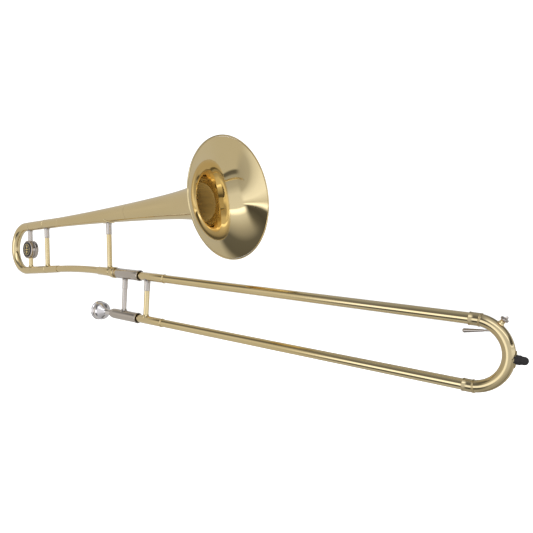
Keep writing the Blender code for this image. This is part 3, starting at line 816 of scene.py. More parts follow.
class Finishes:
    """Every finish of the trombone, made once."""

    def __init__(self) -> None:
        """Makes the materials."""
        tilt = (0.0, BELL_FRAME.tilt, 0.0)
        self.slide_brass = PolishedMetal(
            "lacquer on the slide tubes", BRASS_BRIGHT, BRASS_DEEP, coat=0.3
        ).make()
        self.leg_brass = PolishedMetal(
            "lacquer on the bell section tubes", BRASS_BRIGHT, BRASS_DEEP, turn=tilt, coat=0.3
        ).make()
        self.bow_brass = PolishedMetal(
            "lacquer on bent and cast brass", BRASS_BRIGHT, BRASS_DEEP, lines=EVENLY, coat=0.3
        ).make()
        # Painted shade: a darker copy of the slide lacquer, for the end bow, its ferrules and its guard
        # plate.
        self.shaded_end_brass = PolishedMetal(
            "lacquer on the slide's end bow, darkened as painted shade", (0.70, 0.56, 0.31), (0.60, 0.47, 0.23), lines=EVENLY, coat=0.3
        ).make()
        self.brace_brass = PolishedMetal(
            "lacquer on the brace tubes", BRASS_BRIGHT, BRASS_DEEP, (0.14, 0.22), ALONG_Z, coat=0.3
        ).make()
        self.bell_brass = SpunBrass("lacquer on the spun bell", BRASS_BRIGHT, BRASS_DEEP).make()
        # Dull brass skin inside the throat; its dark brown colour is painted shade deep in the bore.
        self.shaded_bore_brass = SpunBrass(
            "unpolished brass deep in the bell",
            (0.52, 0.35, 0.11),
            (0.36, 0.23, 0.07),
            metallic=0.1,
            coat=0.0,
            dull=0.45,
        ).make()
        self.raw_brass = PolishedMetal(
            "bare brass inside", (0.62, 0.42, 0.16), (0.50, 0.32, 0.12), gloss=(0.2, 0.35)
        ).make()
        self.nickel = PolishedMetal("nickel silver along the slide", NICKEL_BRIGHT, NICKEL_DEEP).make()
        # Painted shade: a darker copy of the slide's nickel silver, for the counterweight and the water key's
        # cup and lever.
        self.shaded_nickel = PolishedMetal(
            "nickel silver on small fittings", (0.56, 0.49, 0.42), (0.46, 0.40, 0.34), (0.10, 0.18), EVENLY
        ).make()
        self.nickel_brace = PolishedMetal(
            "nickel silver on the braces", NICKEL_BRIGHT, NICKEL_DEEP, (0.16, 0.25), ALONG_Z
        ).make()
        self.chrome = PolishedMetal(
            "chrome on the inner tubes", (0.62, 0.63, 0.64), (0.55, 0.56, 0.57), gloss=(0.04, 0.08)
        ).make()
        self.gilt = PolishedMetal(
            "gilding on the badge", (0.86, 0.68, 0.30), (0.76, 0.56, 0.22), (0.38, 0.48), EVENLY
        ).make()
        self.silver = PolishedMetal(
            "silver plate on the mouthpiece", (0.88, 0.825, 0.78), (0.80, 0.74, 0.69), (0.08, 0.13), EVENLY
        ).make()
        self.steel = PolishedMetal(
            "spring and screw steel", (0.50, 0.51, 0.52), (0.42, 0.43, 0.45), (0.15, 0.3), EVENLY
        ).make()
        self.rubber = MouldedSurface(
            "black rubber", (0.008, 0.007, 0.007), (0.018, 0.016, 0.016), 900.0, (0.42, 0.62), 0.00008
        ).make()
        self.enamel = MouldedSurface(
            "black enamel", (0.006, 0.006, 0.007), (0.014, 0.014, 0.015), 500.0, (0.16, 0.28), 0.00001, 0.3
        ).make()
        self.cork = MouldedSurface(
            "cork and felt", (0.36, 0.22, 0.11), (0.20, 0.11, 0.05), 1400.0, (0.8, 0.95), 0.0002
        ).make()


@dataclass
class Brace:
    """A stay between two tubes: a tube with a flared saddle foot, and a ferrule above it."""

    line: Line
    low_surface: float
    high_surface: float
    split: float
    radius: float
    ferrule_radius: float
    foot: float
    sides: int = 48

    def flare(self, surface: float, way: float, radius: float, reach: float) -> Outline:
        """The outline of a foot, from under its edge to the plain tube.

        Args:
            surface: The station of the seat's surface.
            way: 1 for a foot that stands, -1 for one that hangs.
            radius: The plain tube's radius.
            reach: The radius of the foot's edge.

        Returns:
            The outline.
        """
        return [
            (surface - way * 0.0005, reach * 0.9), (surface + way * 0.0002, reach),
            (surface + way * 0.0006, radius + (reach - radius) * 0.72),
            (surface + way * 0.0013, radius + (reach - radius) * 0.38),
            (surface + way * 0.0026, radius + (reach - radius) * 0.12), (surface + way * 0.0046, radius),
        ]

    def drape(self, piece: Piece, seat: Piece, surface: float, way: float, rings: Outline) -> None:
        """Lays the rings of a foot onto the tube under it, each at its own height.

        Args:
            piece: The brace's tube or ferrule.
            seat: The tube that the foot lies on.
            surface: The station of the seat's surface.
            way: 1 for a foot that stands, -1 for one that hangs.
            rings: The foot's rings.
        """
        for station, _ in rings:
            group = piece.vertex_groups.new(name="foot")
            ring = [
                vertex.index
                for vertex in piece.data.vertices
                if abs((vertex.co - self.line.origin).dot(self.line.along) - station) < WELD * 5
            ]
            group.add(ring, 1.0, "REPLACE")
            Bench.apply(
                piece, "SHRINKWRAP", target=seat, wrap_method="PROJECT", use_project_z=True,
                use_negative_direction=way > 0, use_positive_direction=way < 0, offset=abs(station - surface),
                vertex_group=group.name,
            )
            piece.vertex_groups.clear()

    def build_tube(self, name: str, seat: Piece) -> Piece:
        """The lower tube, with its foot laid on the seat.

        Args:
            name: The piece's name.
            seat: The tube that it stands on.

        Returns:
            The tube.
        """
        foot = self.flare(self.low_surface, 1, self.radius, self.foot)
        piece = Bench.turn(name, self.line, solid(foot + [(self.split - GAP / 2, self.radius)]), self.sides)
        self.drape(piece, seat, self.low_surface, 1, foot[1:4])
        return piece

    def build_ferrule(self, name: str, seat: Piece) -> Piece:
        """The upper ferrule, with a smaller foot laid against the seat above it.

        Args:
            name: The piece's name.
            seat: The tube that it hangs from.

        Returns:
            The ferrule.
        """
        foot = self.flare(self.high_surface, -1, self.ferrule_radius, self.ferrule_radius + 0.0016)[::-1]
        lip = [
            (self.split + GAP / 2, self.ferrule_radius - 0.0003), (self.split + 0.0005, self.ferrule_radius)
        ]
        piece = Bench.turn(name, self.line, solid(lip + foot), self.sides)
        self.drape(piece, seat, self.high_surface, -1, foot[-2:-5:-1])
        return piece


@dataclass
class InnerSlide:
    """The hand slide's inner half: barrels, receiver, inner tubes, stockings, leadpipe and brace."""

    tube_radius: float = 0.0066
    tube_bore: float = 0.0062
    tube_start: float = -0.022
    tube_end: float = 0.638
    stocking_radius: float = 0.0068
    stocking_start: float = 0.528
    barrel_radius: float = 0.0099
    barrel_bore: float = 0.0091
    barrel_back: float = -0.0289
    barrel_front: float = 0.0445
    barrel_floor: float = -0.004
    lower_back: float = -0.0375
    receiver_back: float = -0.0433
    thread_turns: int = 11
    socket_end: float = -0.0225
    leadpipe: tuple[float, float, float, float] = (-0.0005, 0.190, 0.00605, 0.0053)

    def build(self) -> Pieces:
        """Builds the inner slide's meshes.

        Returns:
            The pieces, by CAD node.
        """
        upper, lower = slide_line(UPPER), slide_line(LOWER)
        down = Vector((0, 0, LOWER - UPPER))
        made = {
            "upper_inner_tube": Bench.turn(
                "fine_upper_inner_tube",
                upper,
                plain_wall(self.tube_start, self.tube_end, self.tube_radius, self.tube_bore),
            ),
            "upper_stocking": Bench.turn(
                "fine_upper_stocking",
                upper,
                plain_wall(
                    self.stocking_start, self.tube_end, self.stocking_radius, self.tube_radius + 0.00004
                ),
            ),
        }
        Bench.soften(made["upper_stocking"], 0.00006)
        for kind in ("inner_tube", "stocking"):
            made[f"lower_{kind}"] = Bench.copy(made[f"upper_{kind}"], f"fine_lower_{kind}", down)
        made["upper_cork_barrel"] = self.build_barrel("fine_upper_barrel", upper, self.upper_back())
        made["lower_cork_barrel"] = self.build_barrel("fine_lower_barrel", lower, self.lower_outline())
        made["slide_receiver"] = self.build_receiver(upper)
        made["leadpipe"] = Bench.turn("fine_leadpipe", lower, plain_wall(*self.leadpipe))
        brace = Brace(
            Line(Vector(), Z_AXIS, -Y_AXIS), LOWER + self.barrel_radius, UPPER - self.barrel_radius,
            split=0.0115, radius=0.0045, ferrule_radius=0.0051, foot=0.0076,
        )
        made["inner_brace_tube"] = brace.build_tube("fine_inner_brace_tube", made["lower_cork_barrel"])
        made["inner_brace_ferrule"] = brace.build_ferrule(
            "fine_inner_brace_ferrule", made["upper_cork_barrel"]
        )
        return made

    def upper_back(self) -> tuple[Outline, Outline]:
        """The back ends of the upper barrel's outlines.

        Returns:
            The outer and the inner outline.
        """
        back, radius = self.barrel_back, self.barrel_radius
        outer = [(back, radius - 0.0004), (back + 0.0006, radius)]
        return outer, [(back, 0.0083), (self.socket_end, 0.0083)]

    def lower_outline(self) -> tuple[Outline, Outline]:
        """The back ends of the lower barrel's outlines, where it narrows to the mouthpiece's socket.

        Returns:
            The outer and the inner outline.
        """
        nose = [(-0.0375, 0.0071), (-0.0372, 0.0076), (-0.0362, 0.0083), (-0.0345, 0.0089), (-0.0315, 0.0095)]
        nose += [(-0.0280, 0.0098), (-0.0250, self.barrel_radius)]
        return eased(nose, 3), [(self.lower_back, 0.0064), (self.socket_end, 0.0063)]

    def build_barrel(self, name: str, line: Line, backs: tuple[Outline, Outline]) -> Piece:
        """Turns a cork barrel: a smooth sleeve with a rounded bead round its open front.

        Args:
            name: The piece's name.
            line: The barrel's axis.
            backs: The outer and inner outlines behind the cork's cavity.

        Returns:
            The barrel.
        """
        front, radius, bore = self.barrel_front, self.barrel_radius, self.barrel_bore
        lip = [
            (front - 0.0040, radius), (front - 0.0037, radius + 0.0003), (front - 0.0031, radius + 0.0006),
            (front - 0.0010, radius + 0.0007), (front - 0.0003, radius + 0.0005), (front, radius + 0.0001),
        ]
        boss = self.tube_radius + 0.0001
        cavity = [
            (self.socket_end, boss), (self.barrel_floor, boss), (self.barrel_floor, bore), (front, bore)
        ]
        return Bench.turn(name, line, wall(backs[0] + lip, backs[1] + cavity), 96)

    def build_receiver(self, line: Line) -> Piece:
        """Turns the bell receiver, with the screw thread that the lock nut runs on.

        Args:
            line: The axis of the upper tube.

        Returns:
            The receiver.
        """
        outer = [(self.receiver_back, 0.0089)]
        pitch = (self.barrel_back - GAP - self.receiver_back) / self.thread_turns
        for turn in range(self.thread_turns):
            start = self.receiver_back + pitch * turn
            outer += [
                (start + pitch * 0.3, 0.0093), (start + pitch * 0.6, 0.0093), (start + pitch * 0.95, 0.0089)
            ]
        end = self.socket_end - GAP
        outer += [(self.barrel_back - GAP, 0.0080), (end, 0.0080)]
        return Bench.turn(
            "fine_slide_receiver", line, wall(outer, [(self.receiver_back, 0.0078), (end, 0.0071)])
        )

    def dress(self, made: Pieces, finishes: Finishes) -> None:
        """Gives the inner slide's pieces their finishes and bodies.

        Args:
            made: The pieces, by CAD node.
            finishes: Every finish.
        """
        looks = {
            "inner_tube": (Slot.CHROME, finishes.chrome),
            "stocking": (Slot.CHROME, finishes.chrome),
            "barrel": (Slot.NICKEL, finishes.nickel),
            "receiver": (Slot.NICKEL, finishes.nickel),
            "leadpipe": (Slot.LACQUER, finishes.raw_brass),
            "brace": (Slot.NICKEL, finishes.nickel_brace),
        }
        dress_all(made, Body.INNER_SLIDE, looks)
        for side in ("upper", "lower"):
            dress_node(f"{side}_cork", finishes.cork)


@dataclass
class OuterSlide:
    """The hand slide's outer half: tubes, sleeves, brace, ferrules and end bow."""

    tube_radius: float = 0.0073
    tube_bore: float = 0.00695
    tube_start: float = 0.008
    sleeve_start: float = 0.0095
    sleeve_end: float = 0.114
    sleeve_radius: float = 0.00785
    brace_at: float = 0.066
    ferrule_start: float = 0.6598
    ferrule_radius: float = 0.00815
    bow_start: float = 0.6665
    bow_centre: float = 0.668
    bow_radius: float = 0.041
    bow_tube: float = 0.0078

    def build(self) -> Pieces:
        """Builds the outer slide's meshes.

        Returns:
            The pieces, by CAD node.
        """
        upper = slide_line(UPPER)
        down = Vector((0, 0, LOWER - UPPER))
        made = {
            "upper_outer_tube": Bench.turn(
                "fine_upper_outer_tube", upper,
                plain_wall(self.tube_start, self.bow_start - GAP, self.tube_radius, self.tube_bore), 96,
            ),
            "upper_slide_sleeve": Bench.turn("fine_upper_slide_sleeve", upper, self.sleeve_outline(), 96),
        }
        for kind in ("outer_tube", "slide_sleeve"):
            made[f"lower_{kind}"] = Bench.copy(made[f"upper_{kind}"], f"fine_lower_{kind}", down)
        made["upper_bow_ferrule"] = self.build_bow_ferrule("fine_upper_bow_ferrule", 1)
        made["lower_bow_ferrule"] = self.build_bow_ferrule("fine_lower_bow_ferrule", -1)
        centre = Vector((self.bow_centre, 0, 0))
        start = Ring(Vector((self.bow_centre, 0, LOWER)), X_AXIS, self.bow_tube)
        made["end_bow"] = Bench.bow(
            "fine_end_bow", start, centre, math.pi, 64, self.bow_centre - self.bow_start
        )
        Bench.thicken(made["end_bow"], SHEET)
        brace = Brace(
            Line(Vector((self.brace_at, 0, 0)), Z_AXIS, -Y_AXIS), LOWER + self.sleeve_radius,
            UPPER - self.sleeve_radius, split=0.0145, radius=0.0050, ferrule_radius=0.0055, foot=0.0074,
        )
        made["outer_brace_tube"] = brace.build_tube("fine_outer_brace_tube", made["lower_slide_sleeve"])
        made["outer_brace_ferrule"] = brace.build_ferrule(
            "fine_outer_brace_ferrule", made["upper_slide_sleeve"]
        )
        return made

    def sleeve_outline(self) -> Outline:
        """The reinforcing sleeve, with a rounded ring near its front end.

        Returns:
            The loop of its wall.
        """
        radius, end, bore = self.sleeve_radius, self.sleeve_end, self.tube_radius + 0.00005
        ring = [
            (0.0024, 0), (0.0021, 0.0003), (0.0016, 0.0006), (0.0010, 0.0006), (0.0005, 0.0003), (0.0002, 0)
        ]
        outer = [(self.sleeve_start, radius - 0.0001), (self.sleeve_start + 0.0002, radius)]
        outer += [(end - back, radius + rise) for back, rise in ring] + [(end, radius - 0.0002)]
        return wall(outer, [(self.sleeve_start, bore), (end, bore)])

    def build_bow_ferrule(self, name: str, side: int) -> Piece:
        """Sweeps a ferrule over the tube's end and the start of the bow, ringed at both ends.

        Args:
            name: The piece's name.
            side: 1 for the upper leg, -1 for the lower.

        Returns:
            The ferrule.
        """
        height = self.bow_radius * side
        start, plain = self.ferrule_start, self.ferrule_radius
        rings = [
            Ring(Vector((start + step, 0, height)), X_AXIS, plain + rise)
            for step, rise in (
                (0, -0.0001), (0.0002, 0.0002), (0.0005, 0.00045), (0.0010, 0.00045), (0.0014, 0.0002),
                (0.0017, 0),
            )
        ]
        bends = ((0, 0), (3, 0), (5.3, 0), (5.6, 0.0003), (6.0, 0.00045), (6.5, 0.0003), (6.8, 0.00005))
        bends += ((7.2, 0.00005), (7.5, 0.0003), (7.9, 0.00045), (8.4, 0.0003), (8.8, -0.0001))
        for degrees, rise in bends:
            angle = math.radians(degrees)
            middle = Vector(
                (self.bow_centre + self.bow_radius * math.sin(angle), 0, height * math.cos(angle))
            )
            along = Vector((math.cos(angle), 0, -side * math.sin(angle)))
            rings.append(Ring(middle, along, plain + rise))
        piece = Bench.sweep(name, rings, 64)
        Bench.close_edit()
        Bench.thicken(piece, 0.0003)
        return piece

    def dress(self, made: Pieces, finishes: Finishes) -> None:
        """Gives the outer slide's pieces their finishes and bodies.

        Args:
            made: The pieces, by CAD node.
            finishes: Every finish.
        """
        looks = {
            "outer_tube": (Slot.LACQUER, finishes.slide_brass),
            "sleeve": (Slot.LACQUER, finishes.slide_brass),
            # The end bow and its ferrules take the darker copy of the lacquer: painted shade.
            "bow": (Slot.LACQUER, finishes.shaded_end_brass),
            "brace_tube": (Slot.LACQUER, finishes.brace_brass),
            "brace_ferrule": (Slot.NICKEL, finishes.nickel_brace),
        }
        dress_all(made, Body.OUTER_SLIDE, looks)


@dataclass
class BowGuard:
    """The diamond plate on the outside of the end bow, and the rubber bumper on it."""

    bow: OuterSlide
    spread: float = math.radians(18)
    rise: float = 0.0011
    thickness: float = 0.0009
    half_length: float = 0.0105
    half_width: float = 0.0066
    bumper_start: float = 0.7183
    bumper_end: float = 0.7305

    def build(self) -> Pieces:
        """Builds the guard plate and the bumper.

        Returns:
            The pieces, by CAD node.
        """
        centre = Vector((self.bow.bow_centre, 0, 0))
        way = Vector((math.cos(self.spread), 0, -math.sin(self.spread)))
        start = Ring(
            centre + way * self.bow.bow_radius, Vector((math.sin(self.spread), 0, math.cos(self.spread))),
            self.bow.bow_tube + self.rise,
        )
        plate = Bench.bow("fine_bow_guard", start, centre, 2 * self.spread, 24)
        Bench.thicken(plate, self.thickness)
        Bench.clear()
        middle = self.bow.bow_centre + self.bow.bow_radius + self.bow.bow_tube
        bpy.ops.mesh.primitive_circle_add(
            vertices=4, radius=self.half_length, fill_type="NGON", location=(middle - 0.006, 0, 0),
            rotation=(0, math.pi / 2, 0),
        )
        tool = Bench.edit_new("diamond outline")
        squeeze = self.half_width / self.half_length
        bpy.ops.transform.resize(value=(1, squeeze, 1), center_override=(middle, 0, 0))
        Bench.pull((0.012, 0, 0))
        Bench.close_edit()
        Bench.cut(plate, tool, "INTERSECT")
        tip = eased(
            [
                (self.bumper_end - 0.0038, 0.0048), (self.bumper_end - 0.0022, 0.0043),
                (self.bumper_end - 0.0010, 0.0032), (self.bumper_end - 0.0002, 0.0018),
            ],
            3,
        )
        outline = [
            (self.bumper_start - 0.0036, 0.0053), (self.bumper_start - 0.0030, 0.0057),
            (self.bumper_start + 0.0010, 0.0058), (self.bumper_start + 0.0034, 0.0058),
            (self.bumper_start + 0.0040, 0.0055), (self.bumper_start + 0.0043, 0.0051),
            (self.bumper_start + 0.0062, 0.0050), (self.bumper_start + 0.0080, 0.0050),
        ]
        bumper = Bench.turn("fine_rubber_bumper", Line(Vector(), X_AXIS, Z_AXIS), solid(outline + tip), 48)
        return {"bow_guard": plate, "rubber_bumper": bumper}

    def dress(self, made: Pieces, finishes: Finishes) -> None:
        """Gives the plate the end bow's darker lacquer, which is painted shade, and the bumper its rubber."""
        fit(made["bow_guard"], Body.OUTER_SLIDE, Slot.LACQUER, finishes.shaded_end_brass, "bow_guard")
        fit(made["rubber_bumper"], Body.OUTER_SLIDE, Slot.RUBBER, finishes.rubber, "rubber_bumper")


@dataclass
class WaterKey:
    """The water key on the end bow: nipple, saddle, screw, spring, lever, cup and cork."""

    bow: OuterSlide
    angle: float = math.radians(54.5)
    pin_back: float = 0.0121
    nipple_rise: float = 0.0045
    ear_inside: float = 0.0047
    ear_outside: float = 0.0060
    saddle_depth: float = 0.0020
    spring_wire: float = 0.00028
    spring_turns: int = 4
    touch: tuple[float, float, float] = (0.652, 0.0127, 0.024)

    @property
    def out(self) -> Vector:
        """Outwards from the bow's centre, through the key."""
        return Vector((math.cos(self.angle), 0, math.sin(self.angle)))

    @property
    def along(self) -> Vector:
        """Along the bow's tube at the key."""
        return Vector((-math.sin(self.angle), 0, math.cos(self.angle)))

    @property
    def seat(self) -> Vector:
        """The middle of the bow's tube under the key."""
        return Vector((self.bow.bow_centre, 0, 0)) + self.out * self.bow.bow_radius

    @property
    def pin(self) -> Vector:
        """The middle of the hinge pin."""
        return self.seat + Y_AXIS * self.pin_back

    def near_pin(self, out: float, back: float) -> Vector:
        """A place outwards from the pin and away from the front."""
        return self.pin + self.out * out + Y_AXIS * back

    def build(self) -> Pieces:
        """Builds the water key's meshes.

        Returns:
            The pieces, by CAD node.
        """
        outward = Line(self.seat, self.out, self.along)
        surface = self.bow.bow_tube
        top = surface + self.nipple_rise
        nipple_outer = [
            (surface - 0.0006, 0.0046), (surface + 0.0004, 0.0042), (surface + 0.0012, 0.0034),
            (top - 0.0012, 0.0031), (top - 0.0006, 0.0033), (top, 0.0029),
        ]
        nipple_bore = [(surface - 0.0006, 0.0016), (top, 0.0016)]
        nipple = Bench.turn("fine_water_key_nipple", outward, wall(nipple_outer, nipple_bore), 40)
        cork = top + 0.0001
        cup_outer = [
            (cork + 0.0006, 0.0048), (cork + 0.0009, 0.0050), (cork + 0.0024, 0.0050),
            (cork + 0.0030, 0.0047), (cork + 0.0033, 0.0040), (cork + 0.0034, 0.0012),
        ]
        cup_inner = [(cork + 0.0006, 0.0039), (cork + 0.0019, 0.0039), (cork + 0.0019, 0.0010)]
        cup = Bench.turn("fine_water_key_cup", outward, wall(cup_outer, cup_inner), 48)
        screw_line = Line(self.pin, self.along, Y_AXIS)
        edge = self.ear_outside
        shank = [(-edge - 0.0004, 0.0010), (edge + GAP, 0.0011)]
        head = [
            (edge + GAP, 0.0019), (edge + 0.0005, 0.0021), (edge + 0.0010, 0.0021), (edge + 0.0012, 0.0018)
        ]
        screw = Bench.turn("fine_water_key_screw", screw_line, solid(shank + head), 32)
        return {
            "water_key_nipple": nipple,
            "water_key_cup": cup,
            "water_key_screw": screw,
            "water_key_saddle": self.build_saddle(),
            "water_key_spring": self.build_spring(),
            "water_key_lever": self.build_lever(screw_line),
        }

    def build_saddle(self) -> Piece:
        """Pulls two ears out of a small base block.

        Returns:
            The saddle.
        """
        Bench.clear()
        base = self.bow.bow_tube + 0.0001
        bpy.ops.mesh.primitive_cube_add(
            size=1.0, location=self.seat + Y_AXIS * (base + 0.0005),
            rotation=(0, math.pi / 2 - self.angle, 0),
            scale=(2 * self.ear_outside, 0.0010, 2 * self.saddle_depth),
        )
        piece = Bench.edit_new("fine_water_key_saddle")
        for side in (-1, 1):
            bpy.ops.mesh.select_all(action="SELECT")
            bpy.ops.mesh.bisect(plane_co=self.seat + self.along * side * self.ear_inside, plane_no=self.along)
        Bench.select_none(piece)
        for face in piece.data.polygons:
            reach = abs((face.center - self.seat).dot(self.along))
            face.select = face.normal.y > 0.9 and reach > self.ear_inside
        bpy.ops.object.mode_set(mode="EDIT")
        bpy.ops.mesh.select_mode(type="FACE")
        Bench.pull((0, self.pin_back + 0.0022 - base - 0.0010, 0))
        bpy.ops.mesh.select_mode(type="VERT")
        Bench.close_edit()
        Bench.soften(piece, 0.0003)
        return piece

    def build_spring(self) -> Piece:
        """Winds a wire round the pin with a screw of several turns.

        Returns:
            The spring.
        """
        Bench.clear()
        bpy.ops.mesh.primitive_circle_add(
            vertices=10, radius=self.spring_wire, fill_type="NOTHING", location=(0.0019, 0, -0.0040),
            rotation=(math.pi / 2, 0, 0),
        )
        piece = bpy.context.object
        piece.name = piece.data.name = "fine_water_key_spring"
        bpy.ops.object.transform_apply(location=True, rotation=True, scale=True)
        Bench.apply(
            piece, "SCREW", steps=24, render_steps=24, angle=math.tau, iterations=self.spring_turns,
            screw_offset=self.spring_wire * 2.4,
        )
        piece.rotation_euler = Z_AXIS.rotation_difference(-self.along).to_euler()
        piece.location = self.pin
        Bench.pick(piece)
        bpy.ops.object.transform_apply(location=True, rotation=True, scale=True)
        bpy.ops.object.mode_set(mode="EDIT")
        bpy.ops.mesh.select_all(action="SELECT")
        bpy.ops.mesh.remove_doubles(threshold=WELD)
        bpy.ops.mesh.select_non_manifold()
        bpy.ops.mesh.fill()
        Bench.close_edit()
        return piece

    def build_lever(self, pin_line: Line) -> Piece:
        """Bends a rod from over the cup, past the pin, to the finger touch inside the bow.

        Args:
            pin_line: The hinge pin's axis.

        Returns:
            The lever with its hub and touch.
        """
        touch = Vector(self.touch)
        points = [
            self.near_pin(0.0173, -self.pin_back), self.near_pin(0.0172, -0.0070),
            self.near_pin(0.0150, -0.0015), self.near_pin(0.0110, 0.0), self.near_pin(0.0, 0.0),
            self.near_pin(-0.0060, 0.0), touch + Vector((0.030, 0, 0.0040)),
            touch + Vector((0.0010, 0, 0.0001)),
        ]
        piece = Bench.draw("fine_water_key_lever", points)
        bpy.ops.mesh.select_all(action="SELECT")
        bpy.ops.mesh.bevel(offset=0.0022, segments=5, affect="VERTICES")
        bpy.ops.object.mode_set(mode="OBJECT")
        bpy.ops.object.convert(target="CURVE")
        rod = bpy.context.object.data
        rod.bevel_depth = 0.0012
        rod.bevel_resolution = 5
        rod.use_fill_caps = True
        bpy.ops.object.convert(target="MESH")
        piece = bpy.context.object
        bpy.ops.object.mode_set(mode="EDIT")
        Bench.close_edit()
        barrel = [(-0.0043, 0.0021), (-0.0040, 0.0023), (0.0010, 0.0023), (0.0013, 0.0021)]
        hub = Bench.turn("hub", pin_line, solid(barrel), 32)
        Bench.cut(piece, hub, "UNION")
        Bench.cut(piece, self.build_touch(touch), "UNION")
        return piece

    def build_touch(self, touch: Vector) -> Piece:
        """The blade that the finger presses: a flattened rod, tapered towards the pin, with a round tip.

        Args:
            touch: The tip's middle.

        Returns:
            The blade.
        """
        length, tall, thin = 0.0270, 0.0028, 0.0018
        Bench.clear()
        bpy.ops.mesh.primitive_uv_sphere_add(
            segments=32, ring_count=24, radius=tall, location=touch + Vector((0, 0, -0.0002)),
            rotation=(0, math.pi / 2, 0),
        )
        piece = Bench.edit_new("touch")
        bpy.ops.transform.resize(value=(1, thin / tall, 1), center_override=touch)
        Bench.select_none(piece)
        for vertex in piece.data.vertices:
            vertex.select = vertex.co.x > touch.x + tall / 20
        bpy.ops.object.mode_set(mode="EDIT")
        bpy.ops.transform.translate(value=(length - 2 * tall, 0, 0.0030))
        bpy.ops.transform.resize(value=(1, 0.8, 0.55), center_override=touch + Vector((length, 0, 0.0030)))
        Bench.close_edit()
        Bench.smooth(piece)
        return piece

    def dress(self, made: Pieces, finishes: Finishes) -> None:
        """Gives the water key's pieces their finishes and bodies.

        Args:
            made: The pieces, by CAD node.
            finishes: Every finish.
        """
        # The cup and lever take the darker copy of nickel silver: painted shade.
        looks = {
            "water_key_nipple": (Body.OUTER_SLIDE, Slot.LACQUER, finishes.bow_brass),
            "water_key_saddle": (Body.OUTER_SLIDE, Slot.LACQUER, finishes.bow_brass),
            "water_key_screw": (Body.OUTER_SLIDE, Slot.STEEL, finishes.steel),
            "water_key_spring": (Body.OUTER_SLIDE, Slot.STEEL, finishes.steel),
            "water_key_cup": (Body.WATER_KEY, Slot.NICKEL, finishes.shaded_nickel),
            "water_key_lever": (Body.WATER_KEY, Slot.NICKEL, finishes.shaded_nickel),
        }
        for node, (body, slot, material) in looks.items():
            fit(made[node], body, slot, material, node)
        dress_node("water_key_cork", finishes.cork)


@dataclass
class Gooseneck:
    """The bend that joins the bell section to the slide: tube, ferrule, tenon and lock nut."""

    radius: float = 0.0072
    span: float = 0.077
    back: float = -0.0788
    front: float = -0.0475
    ferrule: tuple[float, float] = (-0.086, -0.0462)
    nut: tuple[float, float] = (-0.0459, -0.0295)
    nut_radius: float = 0.011
    bends: int = 16

    def build(self) -> Pieces:
        """Builds the gooseneck, its ferrule and tenon, and the lock nut.

        Returns:
            The pieces, by CAD node.
        """
        line = slide_line(UPPER)
        elbow = Vector(BELL_FRAME.elbow)
        start, end = elbow - BELL_FRAME.along * self.span, elbow + X_AXIS * self.span
        rings = [Ring(elbow + BELL_FRAME.along * self.back, BELL_FRAME.along, self.radius)]
        for i in range(self.bends + 1):
            part = i / self.bends
            middle = start.lerp(elbow, part).lerp(elbow.lerp(end, part), part)
            rings.append(Ring(middle, BELL_FRAME.along.lerp(X_AXIS, part).normalized(), self.radius))
        rings.append(Ring(Vector((self.front, 0, UPPER)), X_AXIS, self.radius))
        neck = Bench.sweep("fine_gooseneck", rings, 64)
        Bench.close_edit()
        Bench.thicken(neck, SHEET)
        first, last = self.ferrule
        outer = [
            (first, 0.0079), (first + 0.0003, 0.0082), (first + 0.0008, 0.0083), (last - 0.0060, 0.0086),
            (last - 0.0012, 0.0088), (last - 0.0004, 0.0087), (last, 0.0084),
        ]
        ferrule = Bench.turn(
            "fine_gooseneck_ferrule", line, wall(outer, [(first, 0.0076), (last, 0.0076)]), 80
        )
        outer = [(-0.0459, 0.0077), (-0.0446, 0.0077), (-0.0446, 0.0090), (-0.0436, 0.0090)]
        outer += [(-0.0436, 0.0074), (-0.0240, 0.0067)]
        inner = [(-0.0459, 0.0062), (-0.0240, 0.0061)]
        tenon = Bench.turn("fine_gooseneck_tenon", line, wall(outer, inner))
        return {
            "gooseneck": neck,
            "gooseneck_ferrule": ferrule,
            "gooseneck_tenon": tenon,
            "bell_lock_nut": self.build_nut(line),
        }

    def build_nut(self, line: Line) -> Piece:
        """Turns the flared collar that draws the bell section onto the slide.

        Args:
            line: The axis of the upper tube.

        Returns:
            The nut.
        """
        back, front = self.nut
        flare_end = front - 0.0085
        outer = [
            (back, 0.0086), (back + 0.0004, 0.0089), (back + 0.0015, 0.0090), (back + 0.0030, 0.0093),
            (flare_end - 0.0018, 0.0101), (flare_end - 0.0006, 0.0108), (flare_end, self.nut_radius),
            (front - 0.0008, self.nut_radius), (front - 0.0002, self.nut_radius - 0.0002),
            (front, self.nut_radius - 0.0006),
        ]
        inner = [(back, 0.0080), (back + 0.0010, 0.0080), (back + 0.0010, 0.0096), (front, 0.0096)]
        return Bench.turn("fine_bell_lock_nut", line, wall(outer, inner), 96)

    def dress(self, made: Pieces, finishes: Finishes) -> None:
        """Gives the gooseneck's pieces their finishes and bodies.

        Args:
            made: The pieces, by CAD node.
            finishes: Every finish.
        """
        brass, nickel = finishes.leg_brass, finishes.nickel
        fit(made["gooseneck"], Body.BELL_SECTION, Slot.LACQUER, brass, "gooseneck")
        fit(made["gooseneck_ferrule"], Body.BELL_SECTION, Slot.LACQUER, brass, "gooseneck_ferrule")
        fit(made["gooseneck_tenon"], Body.BELL_SECTION, Slot.NICKEL, nickel, "gooseneck_tenon")
        fit(made["bell_lock_nut"], Body.LOCK_NUT, Slot.LACQUER, brass, "bell_lock_nut")


